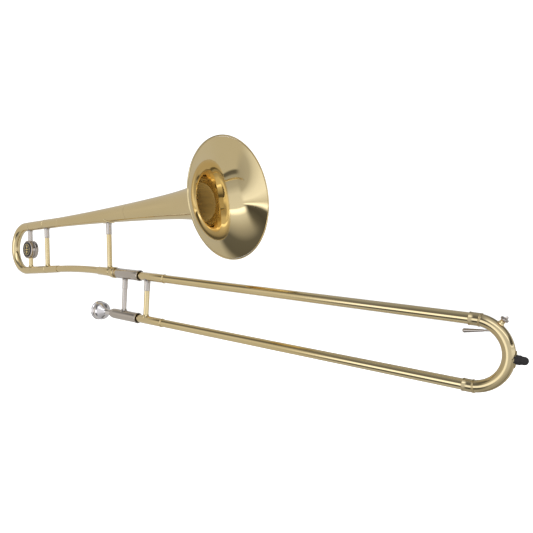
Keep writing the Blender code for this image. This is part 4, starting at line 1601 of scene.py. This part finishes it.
@dataclass
class Bell:
    """The bell: stem, spun flare, rolled rim, tuning receivers, and its two braces."""

    rim_at: float = 0.4342
    rim_radius: float = 0.1016
    rim_wire: float = 0.0013
    seam_at: float = 0.174
    tail_at: float = -0.066
    tail_radius: float = 0.0097
    joint_at: float = -0.1290
    wall: float = SHEET
    flare_gain: float = 0.617
    flare_shift: float = 0.144
    flare_power: float = 5.84
    least_radius: float = 0.00865
    cone_slope: float = 0.047
    cone_fade: float = 0.1095
    cone_start: float = 0.42
    upper_receiver: float = 0.01065
    lower_receiver: float = 0.0083
    lower_receiver_end: float = -0.078
    front_brace_at: float = 0.1059
    rear_brace_at: float = -0.1232
    patch_half: tuple[float, float] = (0.0170, 0.0130)
    # Where the skin of painted shade inside the throat ends.
    bore_end: float = 0.368

    def radius(self, station: float) -> float:
        """The bell's outer radius: a cone that fades in along the stem, and a steep flare at the rim.

        Args:
            station: A place along the bell's axis.

        Returns:
            The radius there.
        """
        depth = self.rim_at - station
        flare = self.flare_gain * ((depth + self.flare_shift) / 0.1) ** -self.flare_power
        fade = math.exp((self.cone_start - depth) / self.cone_fade)
        cone = self.cone_slope * self.cone_fade * math.log1p(fade)
        return self.least_radius + flare + cone

    def outline(self, first: float, last: float, count: int, crowd: float = 1.0) -> Outline:
        """Stations and outer radii between two stations, closer together near the last one."""
        stations = [last - (last - first) * (1 - i / count) ** crowd for i in range(count + 1)]
        return [(station, self.radius(station)) for station in stations]

    def shell(self, outline: Outline, thickness: float) -> Outline:
        """Closes an outline into a wall of even thickness."""
        return wall(outline, self.inwards(outline, thickness))

    def inwards(self, outline: Outline, thickness: float) -> Outline:
        """Moves an outline inwards, square to its own slope.

        Args:
            outline: The outer outline.
            thickness: How far it moves.

        Returns:
            The inner outline.
        """
        inner: Outline = []
        for i, (station, radius) in enumerate(outline):
            before, after = outline[max(i - 1, 0)], outline[min(i + 1, len(outline) - 1)]
            run, rise = after[0] - before[0], after[1] - before[1]
            length = math.hypot(run, rise)
            inner.append((station + thickness * rise / length, radius - thickness * run / length))
        return inner

    def build(self, neck: Piece) -> Pieces:
        """Builds the bell's meshes.

        Args:
            neck: The gooseneck's ferrule, which the front brace stands on.

        Returns:
            The pieces, by CAD node.
        """
        axis, leg = BELL_FRAME.line(BELL_FRAME.offset), BELL_FRAME.line(0)
        tail = [(self.tail_at - 0.008, self.tail_radius), (self.tail_at - 0.0001, self.tail_radius)]
        stem = tail + self.outline(self.tail_at, self.seam_at - GAP, 32)
        flare = self.outline(self.seam_at, self.rim_at - 0.0010, 84, 1.9)
        made = {
            "bell_stem": Bench.turn("fine_bell_stem", axis, self.shell(stem, self.wall), 128),
            "bell_flare": Bench.turn("fine_bell_flare", axis, self.shell(flare, self.wall), 192),
            "bell_rim_wire": self.build_rim(axis),
        }
        receiver = self.upper_receiver
        end = self.tail_at - GAP
        ends = bead(self.joint_at, receiver) + [(end - 0.0002, receiver), (end, receiver - 0.0002)]
        made["upper_tuning_receiver"] = Bench.turn(
            "fine_upper_tuning_receiver", axis, wall(ends, [(self.joint_at, 0.0100), (end, 0.0100)]), 96
        )
        lower = self.lower_receiver
        ends = bead(self.joint_at, lower) + [(self.joint_at + 0.012, lower)]
        ends += [(self.lower_receiver_end, 0.0079)]
        made["lower_tuning_receiver"] = Bench.turn(
            "fine_lower_tuning_receiver", leg,
            wall(ends, [(self.joint_at, 0.00745), (self.lower_receiver_end, 0.00745)]), 80,
        )
        made["brace_patch"] = self.build_patch(axis)
        self.build_braces(made, neck)
        return made

    def build_shaded_bore(self) -> Piece:
        """Spins a thin skin on the inside of the bell's throat and stem: dull, as where nobody polishes, and
        darker brown as painted shade deep in the bore.

        Returns:
            The skin.
        """
        outside = self.outline(self.tail_at, self.bore_end, 60, 1.4)
        outer = self.inwards(outside, self.wall + 0.00012)
        inner = self.inwards(outside, self.wall + 0.00024)[:-1]
        return Bench.turn("bell_bore_shade_skin", BELL_FRAME.line(BELL_FRAME.offset), wall(outer, inner), 192)

    def build_rim(self, axis: Line) -> Piece:
        """Spins the rolled bead that stiffens the rim.

        Args:
            axis: The bell's axis.

        Returns:
            The bead.
        """
        middle = axis.at(self.rim_at - 0.0004, self.rim_radius - self.rim_wire)
        piece = Bench.hoop("fine_bell_rim", Ring(middle, Y_AXIS, self.rim_wire), 24)
        bpy.ops.mesh.spin(steps=192, angle=math.tau, center=axis.origin, axis=axis.along)
        Bench.close_edit()
        return piece

    def build_patch(self, axis: Line) -> Piece:
        """Trims a band round the stem to the pointed plate that the front brace ends on.

        Args:
            axis: The bell's axis.

        Returns:
            The plate.
        """
        at, reach = self.front_brace_at, 0.020
        band = [(s, r + 0.0010) for s, r in self.outline(at - reach, at + reach, 12)]
        piece = Bench.turn("fine_brace_patch", axis, self.shell(band, 0.0009), 160)
        Bench.clear()
        length, width = self.patch_half
        middle = axis.at(at, -0.0200)
        bpy.ops.mesh.primitive_circle_add(
            vertices=48, radius=length, fill_type="NGON", location=middle, rotation=(0, -BELL_FRAME.tilt, 0)
        )
        tool = Bench.edit_new("patch outline")
        Bench.pull(BELL_FRAME.across * 0.0140)
        Bench.close_edit()
        for vertex in tool.data.vertices:
            along = (vertex.co - middle).dot(BELL_FRAME.along) / length
            side = math.copysign(width * max(0.0, 1 - abs(along)) ** 0.85, vertex.co.y)
            vertex.co.y = side if abs(vertex.co.y) > WELD else 0.0
        Bench.cut(piece, tool, "INTERSECT")
        return piece

    def build_braces(self, made: Pieces, neck: Piece) -> None:
        """Adds the rear and front braces to the bell's pieces.

        Args:
            made: The pieces so far, which the braces join.
            neck: The gooseneck's ferrule.
        """
        high = BELL_FRAME.offset - self.upper_receiver
        rear = Brace(
            BELL_FRAME.brace_line(self.rear_brace_at), self.lower_receiver, high,
            split=high - 0.0211, radius=0.0050, ferrule_radius=0.0054, foot=0.0066,
        )
        made["rear_brace_tube"] = rear.build_tube("fine_rear_brace_tube", made["lower_tuning_receiver"])
        made["rear_brace_ferrule"] = rear.build_ferrule(
            "fine_rear_brace_ferrule", made["upper_tuning_receiver"]
        )
        drop = self.front_brace_at * math.tan(BELL_FRAME.tilt)
        high = BELL_FRAME.offset - self.radius(self.front_brace_at) - 0.0010
        front = Brace(
            BELL_FRAME.brace_line(self.front_brace_at), 0.0088 - drop, high,
            split=high - 0.0226, radius=0.0050, ferrule_radius=0.0054, foot=0.0066,
        )
        made["front_brace_tube"] = front.build_tube("fine_front_brace_tube", neck)
        made["front_brace_ferrule"] = front.build_ferrule("fine_front_brace_ferrule", made["bell_stem"])

    def dress(self, made: Pieces, finishes: Finishes) -> None:
        """Gives the bell's pieces their finishes and bodies.

        Args:
            made: The pieces, by CAD node.
            finishes: Every finish.
        """
        looks = {
            "bell_": (Slot.LACQUER, finishes.bell_brass),
            "receiver": (Slot.LACQUER, finishes.leg_brass),
            "patch": (Slot.LACQUER, finishes.leg_brass),
            "brace_tube": (Slot.LACQUER, finishes.brace_brass),
            "brace_ferrule": (Slot.NICKEL, finishes.nickel_brace),
        }
        dress_all(made, Body.BELL_SECTION, looks)


@dataclass
class TuningSlide:
    """The tuning slide: crook, ferrules, legs, brace, and the counterweight with its badge."""

    joint_at: float = -0.1290
    crook_joint: float = -0.1890
    crook_centre: float = -0.212
    low_radius: float = 0.0083
    high_radius: float = 0.0102
    low_leg: float = 0.0073
    high_leg: float = 0.0097
    leg_start: float = -0.169
    leg_end: float = -0.080
    brace_at: float = -0.1955
    weight_height: float = 0.0485
    weight_radius: float = 0.0208
    weight_half: float = 0.0086
    weight_groove: float = 0.0005
    badge_radius: float = 0.0172
    screw_offset: float = -0.0115
    bends: int = 56

    def build(self) -> Pieces:
        """Builds the tuning slide's meshes.

        Returns:
            The pieces, by CAD node.
        """
        made = {"tuning_crook": self.build_crook()}
        legs = (
            ("lower", 0.0, self.low_radius, self.low_leg),
            ("upper", BELL_FRAME.offset, self.high_radius, self.high_leg),
        )
        for side, height, radius, leg in legs:
            line = BELL_FRAME.line(height)
            start, end, outside = self.crook_joint + GAP, self.joint_at - GAP, radius + 0.0001
            outer = [(start, outside - 0.0002), (start + 0.0002, outside)]
            outer += [(end - 0.0002, outside), (end, outside - 0.0002)]
            ferrule = wall(outer, [(start, leg + 0.0001), (end, leg + 0.0001)])
            made[f"{side}_crook_ferrule"] = Bench.turn(f"fine_{side}_crook_ferrule", line, ferrule, 96)
            tube = plain_wall(self.leg_start, self.leg_end, leg, leg - SHEET)
            made[f"{side}_tuning_leg"] = Bench.turn(f"fine_{side}_tuning_leg", line, tube, 80)
        high = BELL_FRAME.offset - self.high_radius
        brace = Brace(
            BELL_FRAME.brace_line(self.brace_at), self.low_radius, high,
            split=self.weight_height + 0.010, radius=0.0049, ferrule_radius=0.0052, foot=0.0066,
        )
        made["tuning_brace_lower"] = brace.build_tube("fine_tuning_brace_lower", made["tuning_crook"])
        made["tuning_brace_upper"] = brace.build_ferrule("fine_tuning_brace_upper", made["tuning_crook"])
        made.update(self.build_weight())
        return made

    def build_crook(self) -> Piece:
        """Sweeps the wide bend, which grows a little from the lower leg to the upper.

        Returns:
            The crook.
        """
        half = BELL_FRAME.offset / 2
        middle = BELL_FRAME.line(half).at(self.crook_centre)
        along, across = BELL_FRAME.along, BELL_FRAME.across
        rings = [Ring(BELL_FRAME.line(0).at(self.crook_joint), -along, self.low_radius)]
        for i in range(self.bends + 1):
            angle = math.pi * i / self.bends
            radius = self.low_radius + (self.high_radius - self.low_radius) * (0.1 + 0.8 * i / self.bends)
            place = middle - across * half * math.cos(angle) - along * half * math.sin(angle)
            way = across * math.sin(angle) - along * math.cos(angle)
            rings.append(Ring(place, way, radius))
        rings.append(Ring(BELL_FRAME.line(BELL_FRAME.offset).at(self.crook_joint), along, self.high_radius))
        piece = Bench.sweep("fine_tuning_crook", rings, 64)
        Bench.close_edit()
        Bench.thicken(piece, SHEET)
        return piece

    def build_weight(self) -> Pieces:
        """Builds the two half discs, the clamping screw and the enamel badge.

        Returns:
            The pieces, by CAD node.
        """
        centre = BELL_FRAME.brace_line(self.brace_at).at(self.weight_height)
        rim, half, groove = self.weight_radius, self.weight_half, self.weight_groove / 2
        outline = [
            (groove, rim - 0.0012), (groove + 0.0003, rim - 0.0005), (groove + 0.0010, rim),
            (half - 0.0012, rim), (half - 0.0004, rim - 0.0004), (half, rim - 0.0012),
        ]
        through = [(-0.03, 0.0051), (0.03, 0.0051)]
        made = {}
        for side, way in (("front", -Y_AXIS), ("rear", Y_AXIS)):
            disc = Bench.turn(
                f"fine_weight_{side}", Line(centre, way, BELL_FRAME.across), solid(outline), 128
            )
            channel = Bench.turn("channel", Line(centre, BELL_FRAME.across, Y_AXIS), solid(through), 48)
            Bench.cut(disc, channel, "DIFFERENCE")
            made[f"counterweight_{side}"] = disc
        screw_line = Line(centre + BELL_FRAME.along * self.screw_offset, Y_AXIS, BELL_FRAME.across)
        made["counterweight_screw"] = self.build_screw(screw_line)
        face = half + GAP
        badge = [
            (face, self.badge_radius), (face + 0.0005, self.badge_radius),
            (face + 0.0008, self.badge_radius - 0.0003), (face + 0.0009, self.badge_radius - 0.0008),
        ]
        made["counterweight_badge"] = Bench.turn(
            "fine_badge", Line(centre, -Y_AXIS, BELL_FRAME.across), solid(badge), 96
        )
        return made

    def build_screw(self, line: Line) -> Piece:
        """Turns a domed screw head and cuts its slot.

        Args:
            line: The screw's axis.

        Returns:
            The screw.
        """
        head = self.weight_half + GAP
        outline = [(0.0022, 0.0014), (head, 0.0014), (head, 0.0030), (head + 0.0012, 0.0030)]
        outline += [(head + 0.0017, 0.0026), (head + 0.0020, 0.0018)]
        piece = Bench.turn("fine_weight_screw", line, solid(outline), 40)
        Bench.clear()
        bpy.ops.mesh.primitive_cube_add(
            size=1.0, location=line.at(head + 0.0018), rotation=(0, 0.6, 0), scale=(0.008, 0.0012, 0.0007)
        )
        slot = Bench.edit_new("slot")
        Bench.close_edit()
        Bench.cut(piece, slot, "DIFFERENCE")
        return piece

    def build_emblem(self) -> Pieces:
        """Lays a gilt oval and a plain sign of a lozenge, a bar and a wedge on the badge.

        Returns:
            The signs by name.
        """
        centre = BELL_FRAME.brace_line(self.brace_at).at(self.weight_height)
        face = centre - Y_AXIS * (self.weight_half + GAP + 0.00085)
        upright = Z_AXIS.rotation_difference(-Y_AXIS).to_euler()
        Bench.clear()
        bpy.ops.mesh.primitive_torus_add(
            major_segments=96, minor_segments=10, major_radius=0.0128, minor_radius=0.00062,
            location=face, rotation=upright,
        )
        oval = Bench.edit_new("badge_oval")
        bpy.ops.transform.resize(value=(0.88, 0.5, 1.0), center_override=face)
        Bench.close_edit()
        signs = {"badge_oval": oval}
        for name, corners, size, rise, squeeze in (
            ("badge_lozenge", 4, 0.0048, 0.0064, (0.72, 1, 1)),
            ("badge_bar", 4, 0.0080, 0.0, (1, 1, 0.24)),
            ("badge_wedge", 3, 0.0056, -0.0060, (0.95, 1, -1)),
        ):
            Bench.clear()
            middle = face + Z_AXIS * rise
            bpy.ops.mesh.primitive_circle_add(
                vertices=corners, radius=size, fill_type="NGON", location=middle, rotation=upright
            )
            sign = Bench.edit_new(name)
            bpy.ops.transform.resize(value=squeeze, center_override=middle)
            Bench.pull((0, -0.0002, 0))
            Bench.close_edit()
            signs[name] = sign
        return signs

    def dress(self, made: Pieces, signs: Pieces, finishes: Finishes) -> None:
        """Gives the tuning slide's pieces their finishes and bodies.

        Args:
            made: The pieces, by CAD node.
            signs: The signs on the badge.
            finishes: Every finish.
        """
        # The counterweight halves take the darker copy of nickel silver: painted shade.
        looks = {
            "crook_ferrule": (Slot.LACQUER, finishes.leg_brass),
            "tuning_crook": (Slot.LACQUER, finishes.bow_brass),
            "tuning_leg": (Slot.NICKEL, finishes.nickel),
            "brace_lower": (Slot.LACQUER, finishes.brace_brass),
            "brace_upper": (Slot.NICKEL, finishes.nickel_brace),
            "badge": (Slot.ENAMEL, finishes.enamel),
            "screw": (Slot.STEEL, finishes.steel),
            "counterweight": (Slot.NICKEL, finishes.shaded_nickel),
        }
        dress_all(made, Body.TUNING_SLIDE, looks)
        for sign in signs.values():
            fit(sign, Body.TUNING_SLIDE, Slot.LACQUER, finishes.gilt)


@dataclass
class Mouthpiece:
    """The silver mouthpiece: rim, bowl, throat and tapered shank."""

    rim_at: float = -0.0835
    end: float = -0.003
    outer: Outline = field(
        default_factory=lambda: [

            (0.0, 0.0158), (0.0002, 0.0170), (0.0010, 0.0184), (0.0026, 0.0195), (0.0042, 0.0191),
            (0.0056, 0.0179), (0.0068, 0.0176), (0.0110, 0.0183), (0.0160, 0.0176), (0.0205, 0.0150),
            (0.0240, 0.0110), (0.0268, 0.0077), (0.0300, 0.0061), (0.0350, 0.0056), (0.0440, 0.0055),
        ]
    )
    inner: Outline = field(
        default_factory=lambda: [

            (0.0, 0.0156), (0.0001, 0.0146), (0.0005, 0.0137), (0.0016, 0.0129), (0.0080, 0.0122),
            (0.0150, 0.0104), (0.0210, 0.0072), (0.0255, 0.0034), (0.0300, 0.0032),
        ]
    )

    def build(self) -> Piece:
        """Turns the mouthpiece from two flowing outlines.

        Returns:
            The mouthpiece.
        """
        outer = eased([(self.rim_at + s, r) for s, r in self.outer], 5) + [(self.end, 0.0054)]
        inner = eased([(self.rim_at + s, r) for s, r in self.inner], 5) + [(self.end, 0.0047)]
        return Bench.turn("fine_mouthpiece", slide_line(LOWER), wall(outer, inner), 96)

    def dress(self, piece: Piece, finishes: Finishes) -> None:
        """Gives the mouthpiece its silver plate."""
        fit(piece, Body.MOUTHPIECE, Slot.SILVER, finishes.silver, "mouthpiece")


Tones = tuple[tuple[float, float, float], ...]


def round_turn(tones: Tones) -> Tones:
    """Changes angles above the front into shares of the whole turn, from the back and below."""
    return tuple(((degrees + 180) / 360, value, cool) for degrees, value, cool in tones)


LEFT_WALL = round_turn(
    (
        (-180, 0.53, -0.2), (-90, 0.54, -0.2), (-20, 0.58, -0.2), (5, 0.70, -0.2), (28, 0.58, -0.2),
        (40, 0.17, -0.2), (74, 0.17, -0.2), (92, 0.48, -0.2), (180, 0.53, -0.2),
    )
)
FRONT_WINDOW = round_turn(
    (
        (-180, 0.50, 0.4), (-62, 0.50, 0.8), (-50, 0.13, 0.8), (-26, 0.10, 0.8), (-20, 1.55, 0.8),
        (8, 1.45, 0.8), (12, 0.45, 0.8), (24, 0.16, 0.8), (52, 0.22, 0.8), (78, 0.36, 0.8), (180, 0.46, 0.4),
    )
)
RIGHT_SWEEP = round_turn(
    (
        (-180, 0.57, 0.0), (-114, 0.57, 0.0), (-108, 0.12, 0.0), (-99, 0.14, 0.0), (-92, 0.42, 0.5),
        (-50, 0.52, 0.5), (-20, 0.80, 0.8), (34, 0.85, 0.8), (39, 1.90, 1.0), (47, 1.80, 1.0),
        (60, 0.85, 0.8), (92, 0.52, 0.3), (112, 0.32, 0.3), (124, 0.14, 0.3), (143, 0.12, 0.0),
        (150, 0.52, 0.0), (180, 0.57, 0.0),
    )
)
FAR_RIGHT = (
    (0.20, 0.40, 0.3), (0.38, 0.52, 0.5), (0.43, 0.78, 0.8), (0.50, 1.05, 1.0), (0.56, 1.15, 1.0),
    (0.61, 0.72, 0.5), (0.63, 1.90, 1.0), (0.65, 0.10, 0.0), (0.69, 0.08, 0.0), (0.78, 0.15, 0.0),
    (1.0, 0.15, 0.0),
)


@dataclass
class Studio:
    """A pale floor, soft light all round, and the camera."""

    floor_height: float = -0.45
    floor_size: float = 14.0
    eye: tuple[float, float, float] = (0.85564, -0.67377, 0.11267)
    aim: tuple[float, float, float] = (84.914, -3.619, 38.159)
    lens: float = 36.374
    sensor: float = 36.0
    shift: tuple[float, float] = (0.01595, 0.05074)

    def build_camera(self) -> None:
        """Adds the camera and makes it the scene's own."""
        Bench.clear()
        turn = Euler([math.radians(angle) for angle in self.aim])
        bpy.ops.object.camera_add(location=self.eye, rotation=turn)
        camera = bpy.context.object
        camera.name = "viewpoint"
        camera.data.lens = self.lens
        camera.data.sensor_width = self.sensor
        camera.data.shift_x, camera.data.shift_y = self.shift
        camera.data.clip_start = 0.01
        bpy.context.scene.camera = camera

    def build_floor(self) -> None:
        """Lays a pale floor well below the instrument."""
        Bench.clear()
        bpy.ops.mesh.primitive_plane_add(size=self.floor_size, location=(0, 0, self.floor_height))
        floor = Bench.edit_new("studio_floor")
        bpy.ops.mesh.subdivide(number_cuts=8)
        bpy.ops.object.mode_set(mode="OBJECT")
        floor.data.materials.append(self.make_paper())
        floor.visible_glossy = False

    def make_paper(self) -> bpy.types.Material:
        """Builds the matt white of the floor.

        Returns:
            The material.
        """
        material = bpy.data.materials.new("pale studio paper")
        material.use_nodes = True
        nodes = material.node_tree.nodes
        links = material.node_tree.links
        paper = nodes["Principled BSDF"]
        paper.label = "matt paper"
        paper.inputs["Roughness"].default_value = 0.9
        place = nodes.new("ShaderNodeTexCoord")
        place.label = "place on the floor"
        place.location = (-700, 0)
        pulp = nodes.new("ShaderNodeTexNoise")
        pulp.label = "faint unevenness of the paper"
        pulp.location = (-500, 0)
        pulp.inputs["Scale"].default_value = 3.0
        tone = nodes.new("ShaderNodeMix")
        tone.label = "two near whites"
        tone.location = (-260, 0)
        tone.data_type = "RGBA"
        tone.inputs["A"].default_value = (0.93, 0.93, 0.93, 1)
        tone.inputs["B"].default_value = (0.90, 0.90, 0.90, 1)
        links.new(place.outputs["Object"], pulp.inputs["Vector"])
        links.new(pulp.outputs["Fac"], tone.inputs["Factor"])
        links.new(tone.outputs["Result"], paper.inputs["Base Color"])
        return material

    def build_lights(self) -> None:
        """Hangs three large soft boxes."""
        for name, place, size, power in (
            ("overhead soft box", (0.1, -0.2, 2.2), 2.6, 60),
            ("front soft box", (0.5, -2.4, 0.9), 1.8, 26),
            ("back soft box", (-0.6, 2.4, 1.2), 1.8, 20),
        ):
            Bench.clear()
            aim = (Vector((0.1, 0, 0)) - Vector(place)).to_track_quat("-Z", "Y").to_euler()
            bpy.ops.object.light_add(type="AREA", location=place, rotation=aim)
            lamp = bpy.context.object
            lamp.name = name
            lamp.data.shape = "SQUARE"
            lamp.data.size = size
            lamp.data.energy = power
            lamp.visible_glossy = False

    def build_surroundings(self) -> None:
        """Lights the world: white to the eye, and in the metal a studio of walls, window and floor."""
        world = bpy.data.worlds.new("studio surroundings")
        bpy.context.scene.world = world
        world.use_nodes = True
        nodes = world.node_tree.nodes
        links = world.node_tree.links
        nodes.clear()

        output = nodes.new("ShaderNodeOutputWorld")
        output.label = "studio"
        output.location = (1300, 0)
        seen = nodes.new("ShaderNodeLightPath")
        seen.label = "seen straight on or in the metal"
        seen.location = (700, 300)
        plainly = nodes.new("ShaderNodeMath")
        plainly.label = "seen by the camera or by matt surfaces"
        plainly.location = (900, 300)
        plainly.operation = "MAXIMUM"
        links.new(seen.outputs["Is Camera Ray"], plainly.inputs[0])
        links.new(seen.outputs["Is Diffuse Ray"], plainly.inputs[1])
        white = nodes.new("ShaderNodeBackground")
        white.label = "white backdrop"
        white.location = (900, 100)
        white.inputs["Color"].default_value = (1, 1, 1, 1)
        white.inputs["Strength"].default_value = 1.3
        room = nodes.new("ShaderNodeBackground")
        room.label = "what the metal mirrors"
        room.location = (900, -100)
        choose = nodes.new("ShaderNodeMixShader")
        choose.label = "backdrop or room"
        choose.location = (1100, 0)
        links.new(plainly.outputs["Value"], choose.inputs["Fac"])
        links.new(room.outputs["Background"], choose.inputs[1])
        links.new(white.outputs["Background"], choose.inputs[2])
        links.new(choose.outputs["Shader"], output.inputs["Surface"])

        way = nodes.new("ShaderNodeTexCoord")
        way.label = "way the light comes from"
        way.location = (-1300, 0)
        split = nodes.new("ShaderNodeSeparateXYZ")
        split.label = "left and right, front and back, up and down"
        split.location = (-1100, 0)
        links.new(way.outputs["Generated"], split.inputs["Vector"])

        height = nodes.new("NodeFrame")
        height.label = "Round the slide's axis: floor, wall, ceiling"
        front = nodes.new("ShaderNodeMath")
        front.label = "front is ahead"
        front.operation = "MULTIPLY"
        front.inputs[1].default_value = -1.0
        pitch = nodes.new("ShaderNodeMath")
        pitch.label = "angle above the front"
        pitch.operation = "ARCTAN2"
        turn = nodes.new("ShaderNodeMapRange")
        turn.label = "once round, from 0 to 1"
        turn.inputs["From Min"].default_value = -math.pi
        turn.inputs["From Max"].default_value = math.pi
        for node, spot in ((front, (-900, 100)), (pitch, (-720, 100)), (turn, (-540, 100))):
            node.parent, node.location = height, spot
        links.new(split.outputs["Y"], front.inputs[0])
        links.new(split.outputs["Z"], pitch.inputs[0])
        links.new(front.outputs["Value"], pitch.inputs[1])
        links.new(pitch.outputs["Value"], turn.inputs["Value"])

        left = nodes.new("ShaderNodeValToRGB")
        left.label = "left wall with a dark rail under the ceiling"
        left.location = (-300, 500)
        self.paint(left, LEFT_WALL)
        window = nodes.new("ShaderNodeValToRGB")
        window.label = "front wall with a long window"
        window.location = (-300, 220)
        self.paint(window, FRONT_WINDOW)
        links.new(turn.outputs["Result"], left.inputs["Fac"])
        links.new(turn.outputs["Result"], window.inputs["Fac"])

        rise = nodes.new("ShaderNodeMapRange")
        rise.label = "from straight down to straight up"
        rise.location = (-540, -260)
        rise.inputs["From Min"].default_value = -1.0
        right = nodes.new("ShaderNodeValToRGB")
        right.label = "right side: pale floor, white sweep, dim ceiling"
        right.location = (-300, -60)
        self.paint(right, RIGHT_SWEEP)
        ahead = nodes.new("ShaderNodeValToRGB")
        ahead.label = "straight ahead: sweep, bright strip, dark doorway"
        ahead.location = (-300, -340)
        self.paint(ahead, FAR_RIGHT)
        links.new(split.outputs["Z"], rise.inputs["Value"])
        links.new(turn.outputs["Result"], right.inputs["Fac"])
        links.new(rise.outputs["Result"], ahead.inputs["Fac"])

        joints = nodes.new("NodeFrame")
        joints.label = "Join the sides of the room"
        far = nodes.new("ShaderNodeMapRange")
        far.label = "far left is a plain wall"
        far.interpolation_type = "SMOOTHSTEP"
        far.inputs["From Min"].default_value = -0.86
        far.inputs["From Max"].default_value = -0.74
        near = nodes.new("ShaderNodeMapRange")
        near.label = "left wall to front window"
        near.interpolation_type = "SMOOTHSTEP"
        near.inputs["From Min"].default_value = -0.58
        near.inputs["From Max"].default_value = -0.44
        side = nodes.new("ShaderNodeMapRange")
        side.label = "front window to right side"
        side.interpolation_type = "SMOOTHSTEP"
        side.inputs["From Min"].default_value = -0.15
        side.inputs["From Max"].default_value = 0.15
        end = nodes.new("ShaderNodeMapRange")
        end.label = "right side to straight ahead"
        end.interpolation_type = "SMOOTHSTEP"
        end.inputs["From Min"].default_value = 0.76
        end.inputs["From Max"].default_value = 0.88
        plain = nodes.new("ShaderNodeMix")
        plain.label = "plain wall or railed wall"
        plain.data_type = "RGBA"
        plain.inputs["A"].default_value = (0.57, 0.56, 0.55, 1)
        lit = nodes.new("ShaderNodeMix")
        lit.label = "then the window"
        lit.data_type = "RGBA"
        whole = nodes.new("ShaderNodeMix")
        whole.label = "then the right side"
        whole.data_type = "RGBA"
        last = nodes.new("ShaderNodeMix")
        last.label = "then straight ahead"
        last.data_type = "RGBA"
        for node, spot in (
            (far, (0, 560)), (near, (0, 300)), (side, (0, 40)), (end, (0, -220)), (plain, (220, 500)),
            (lit, (420, 300)), (whole, (620, 60)), (last, (420, -160)),
        ):
            node.parent, node.location = joints, spot
        for mask in (far, near, side, end):
            links.new(split.outputs["X"], mask.inputs["Value"])
        links.new(far.outputs["Result"], plain.inputs["Factor"])
        links.new(left.outputs["Color"], plain.inputs["B"])
        links.new(near.outputs["Result"], lit.inputs["Factor"])
        links.new(plain.outputs["Result"], lit.inputs["A"])
        links.new(window.outputs["Color"], lit.inputs["B"])
        links.new(side.outputs["Result"], whole.inputs["Factor"])
        links.new(lit.outputs["Result"], whole.inputs["A"])
        links.new(end.outputs["Result"], last.inputs["Factor"])
        links.new(right.outputs["Color"], last.inputs["A"])
        links.new(ahead.outputs["Color"], last.inputs["B"])
        links.new(last.outputs["Result"], whole.inputs["B"])
        links.new(whole.outputs["Result"], room.inputs["Color"])

    @staticmethod
    def paint(ramp: bpy.types.ShaderNode, tones: Tones) -> None:
        """Sets the stops of a colour ramp.

        Args:
            ramp: The ramp node.
            tones: A position, a brightness and how cool it is, for each stop.
        """
        stops = ramp.color_ramp.elements
        while len(stops) > 1:
            stops.remove(stops[-1])
        for i, (position, value, cool) in enumerate(tones):
            stop = stops[0] if i == 0 else stops.new(position)
            stop.position = position
            stop.color = (value * (1 - 0.05 * cool), value, value * (1 + 0.12 * cool), 1)


def main() -> None:
    """Sets the studio, and builds and dresses the trombone; fit reports each piece."""
    logging.basicConfig(level=logging.INFO, format="%(message)s")
    studio = Studio()
    studio.build_camera()
    studio.build_floor()
    studio.build_lights()
    studio.build_surroundings()
    finishes = Finishes()

    inner = InnerSlide()
    inner.dress(inner.build(), finishes)
    outer = OuterSlide()
    outer.dress(outer.build(), finishes)
    guard = BowGuard(outer)
    guard.dress(guard.build(), finishes)
    key = WaterKey(outer)
    key.dress(key.build(), finishes)
    gooseneck = Gooseneck()
    neck = gooseneck.build()
    gooseneck.dress(neck, finishes)
    bell = Bell()
    bell.dress(bell.build(neck["gooseneck_ferrule"]), finishes)
    # The bore skin's darker brown brass is painted shade in the throat.
    fit(bell.build_shaded_bore(), Body.BELL_SECTION, Slot.RAW_BRASS, finishes.shaded_bore_brass)
    tuning = TuningSlide()
    tuning.dress(tuning.build(), tuning.build_emblem(), finishes)
    mouthpiece = Mouthpiece()
    mouthpiece.dress(mouthpiece.build(), finishes)

    Bench.clear()
    bpy.context.scene.view_settings.view_transform = "Standard"


if __name__ == "__main__":
    main()
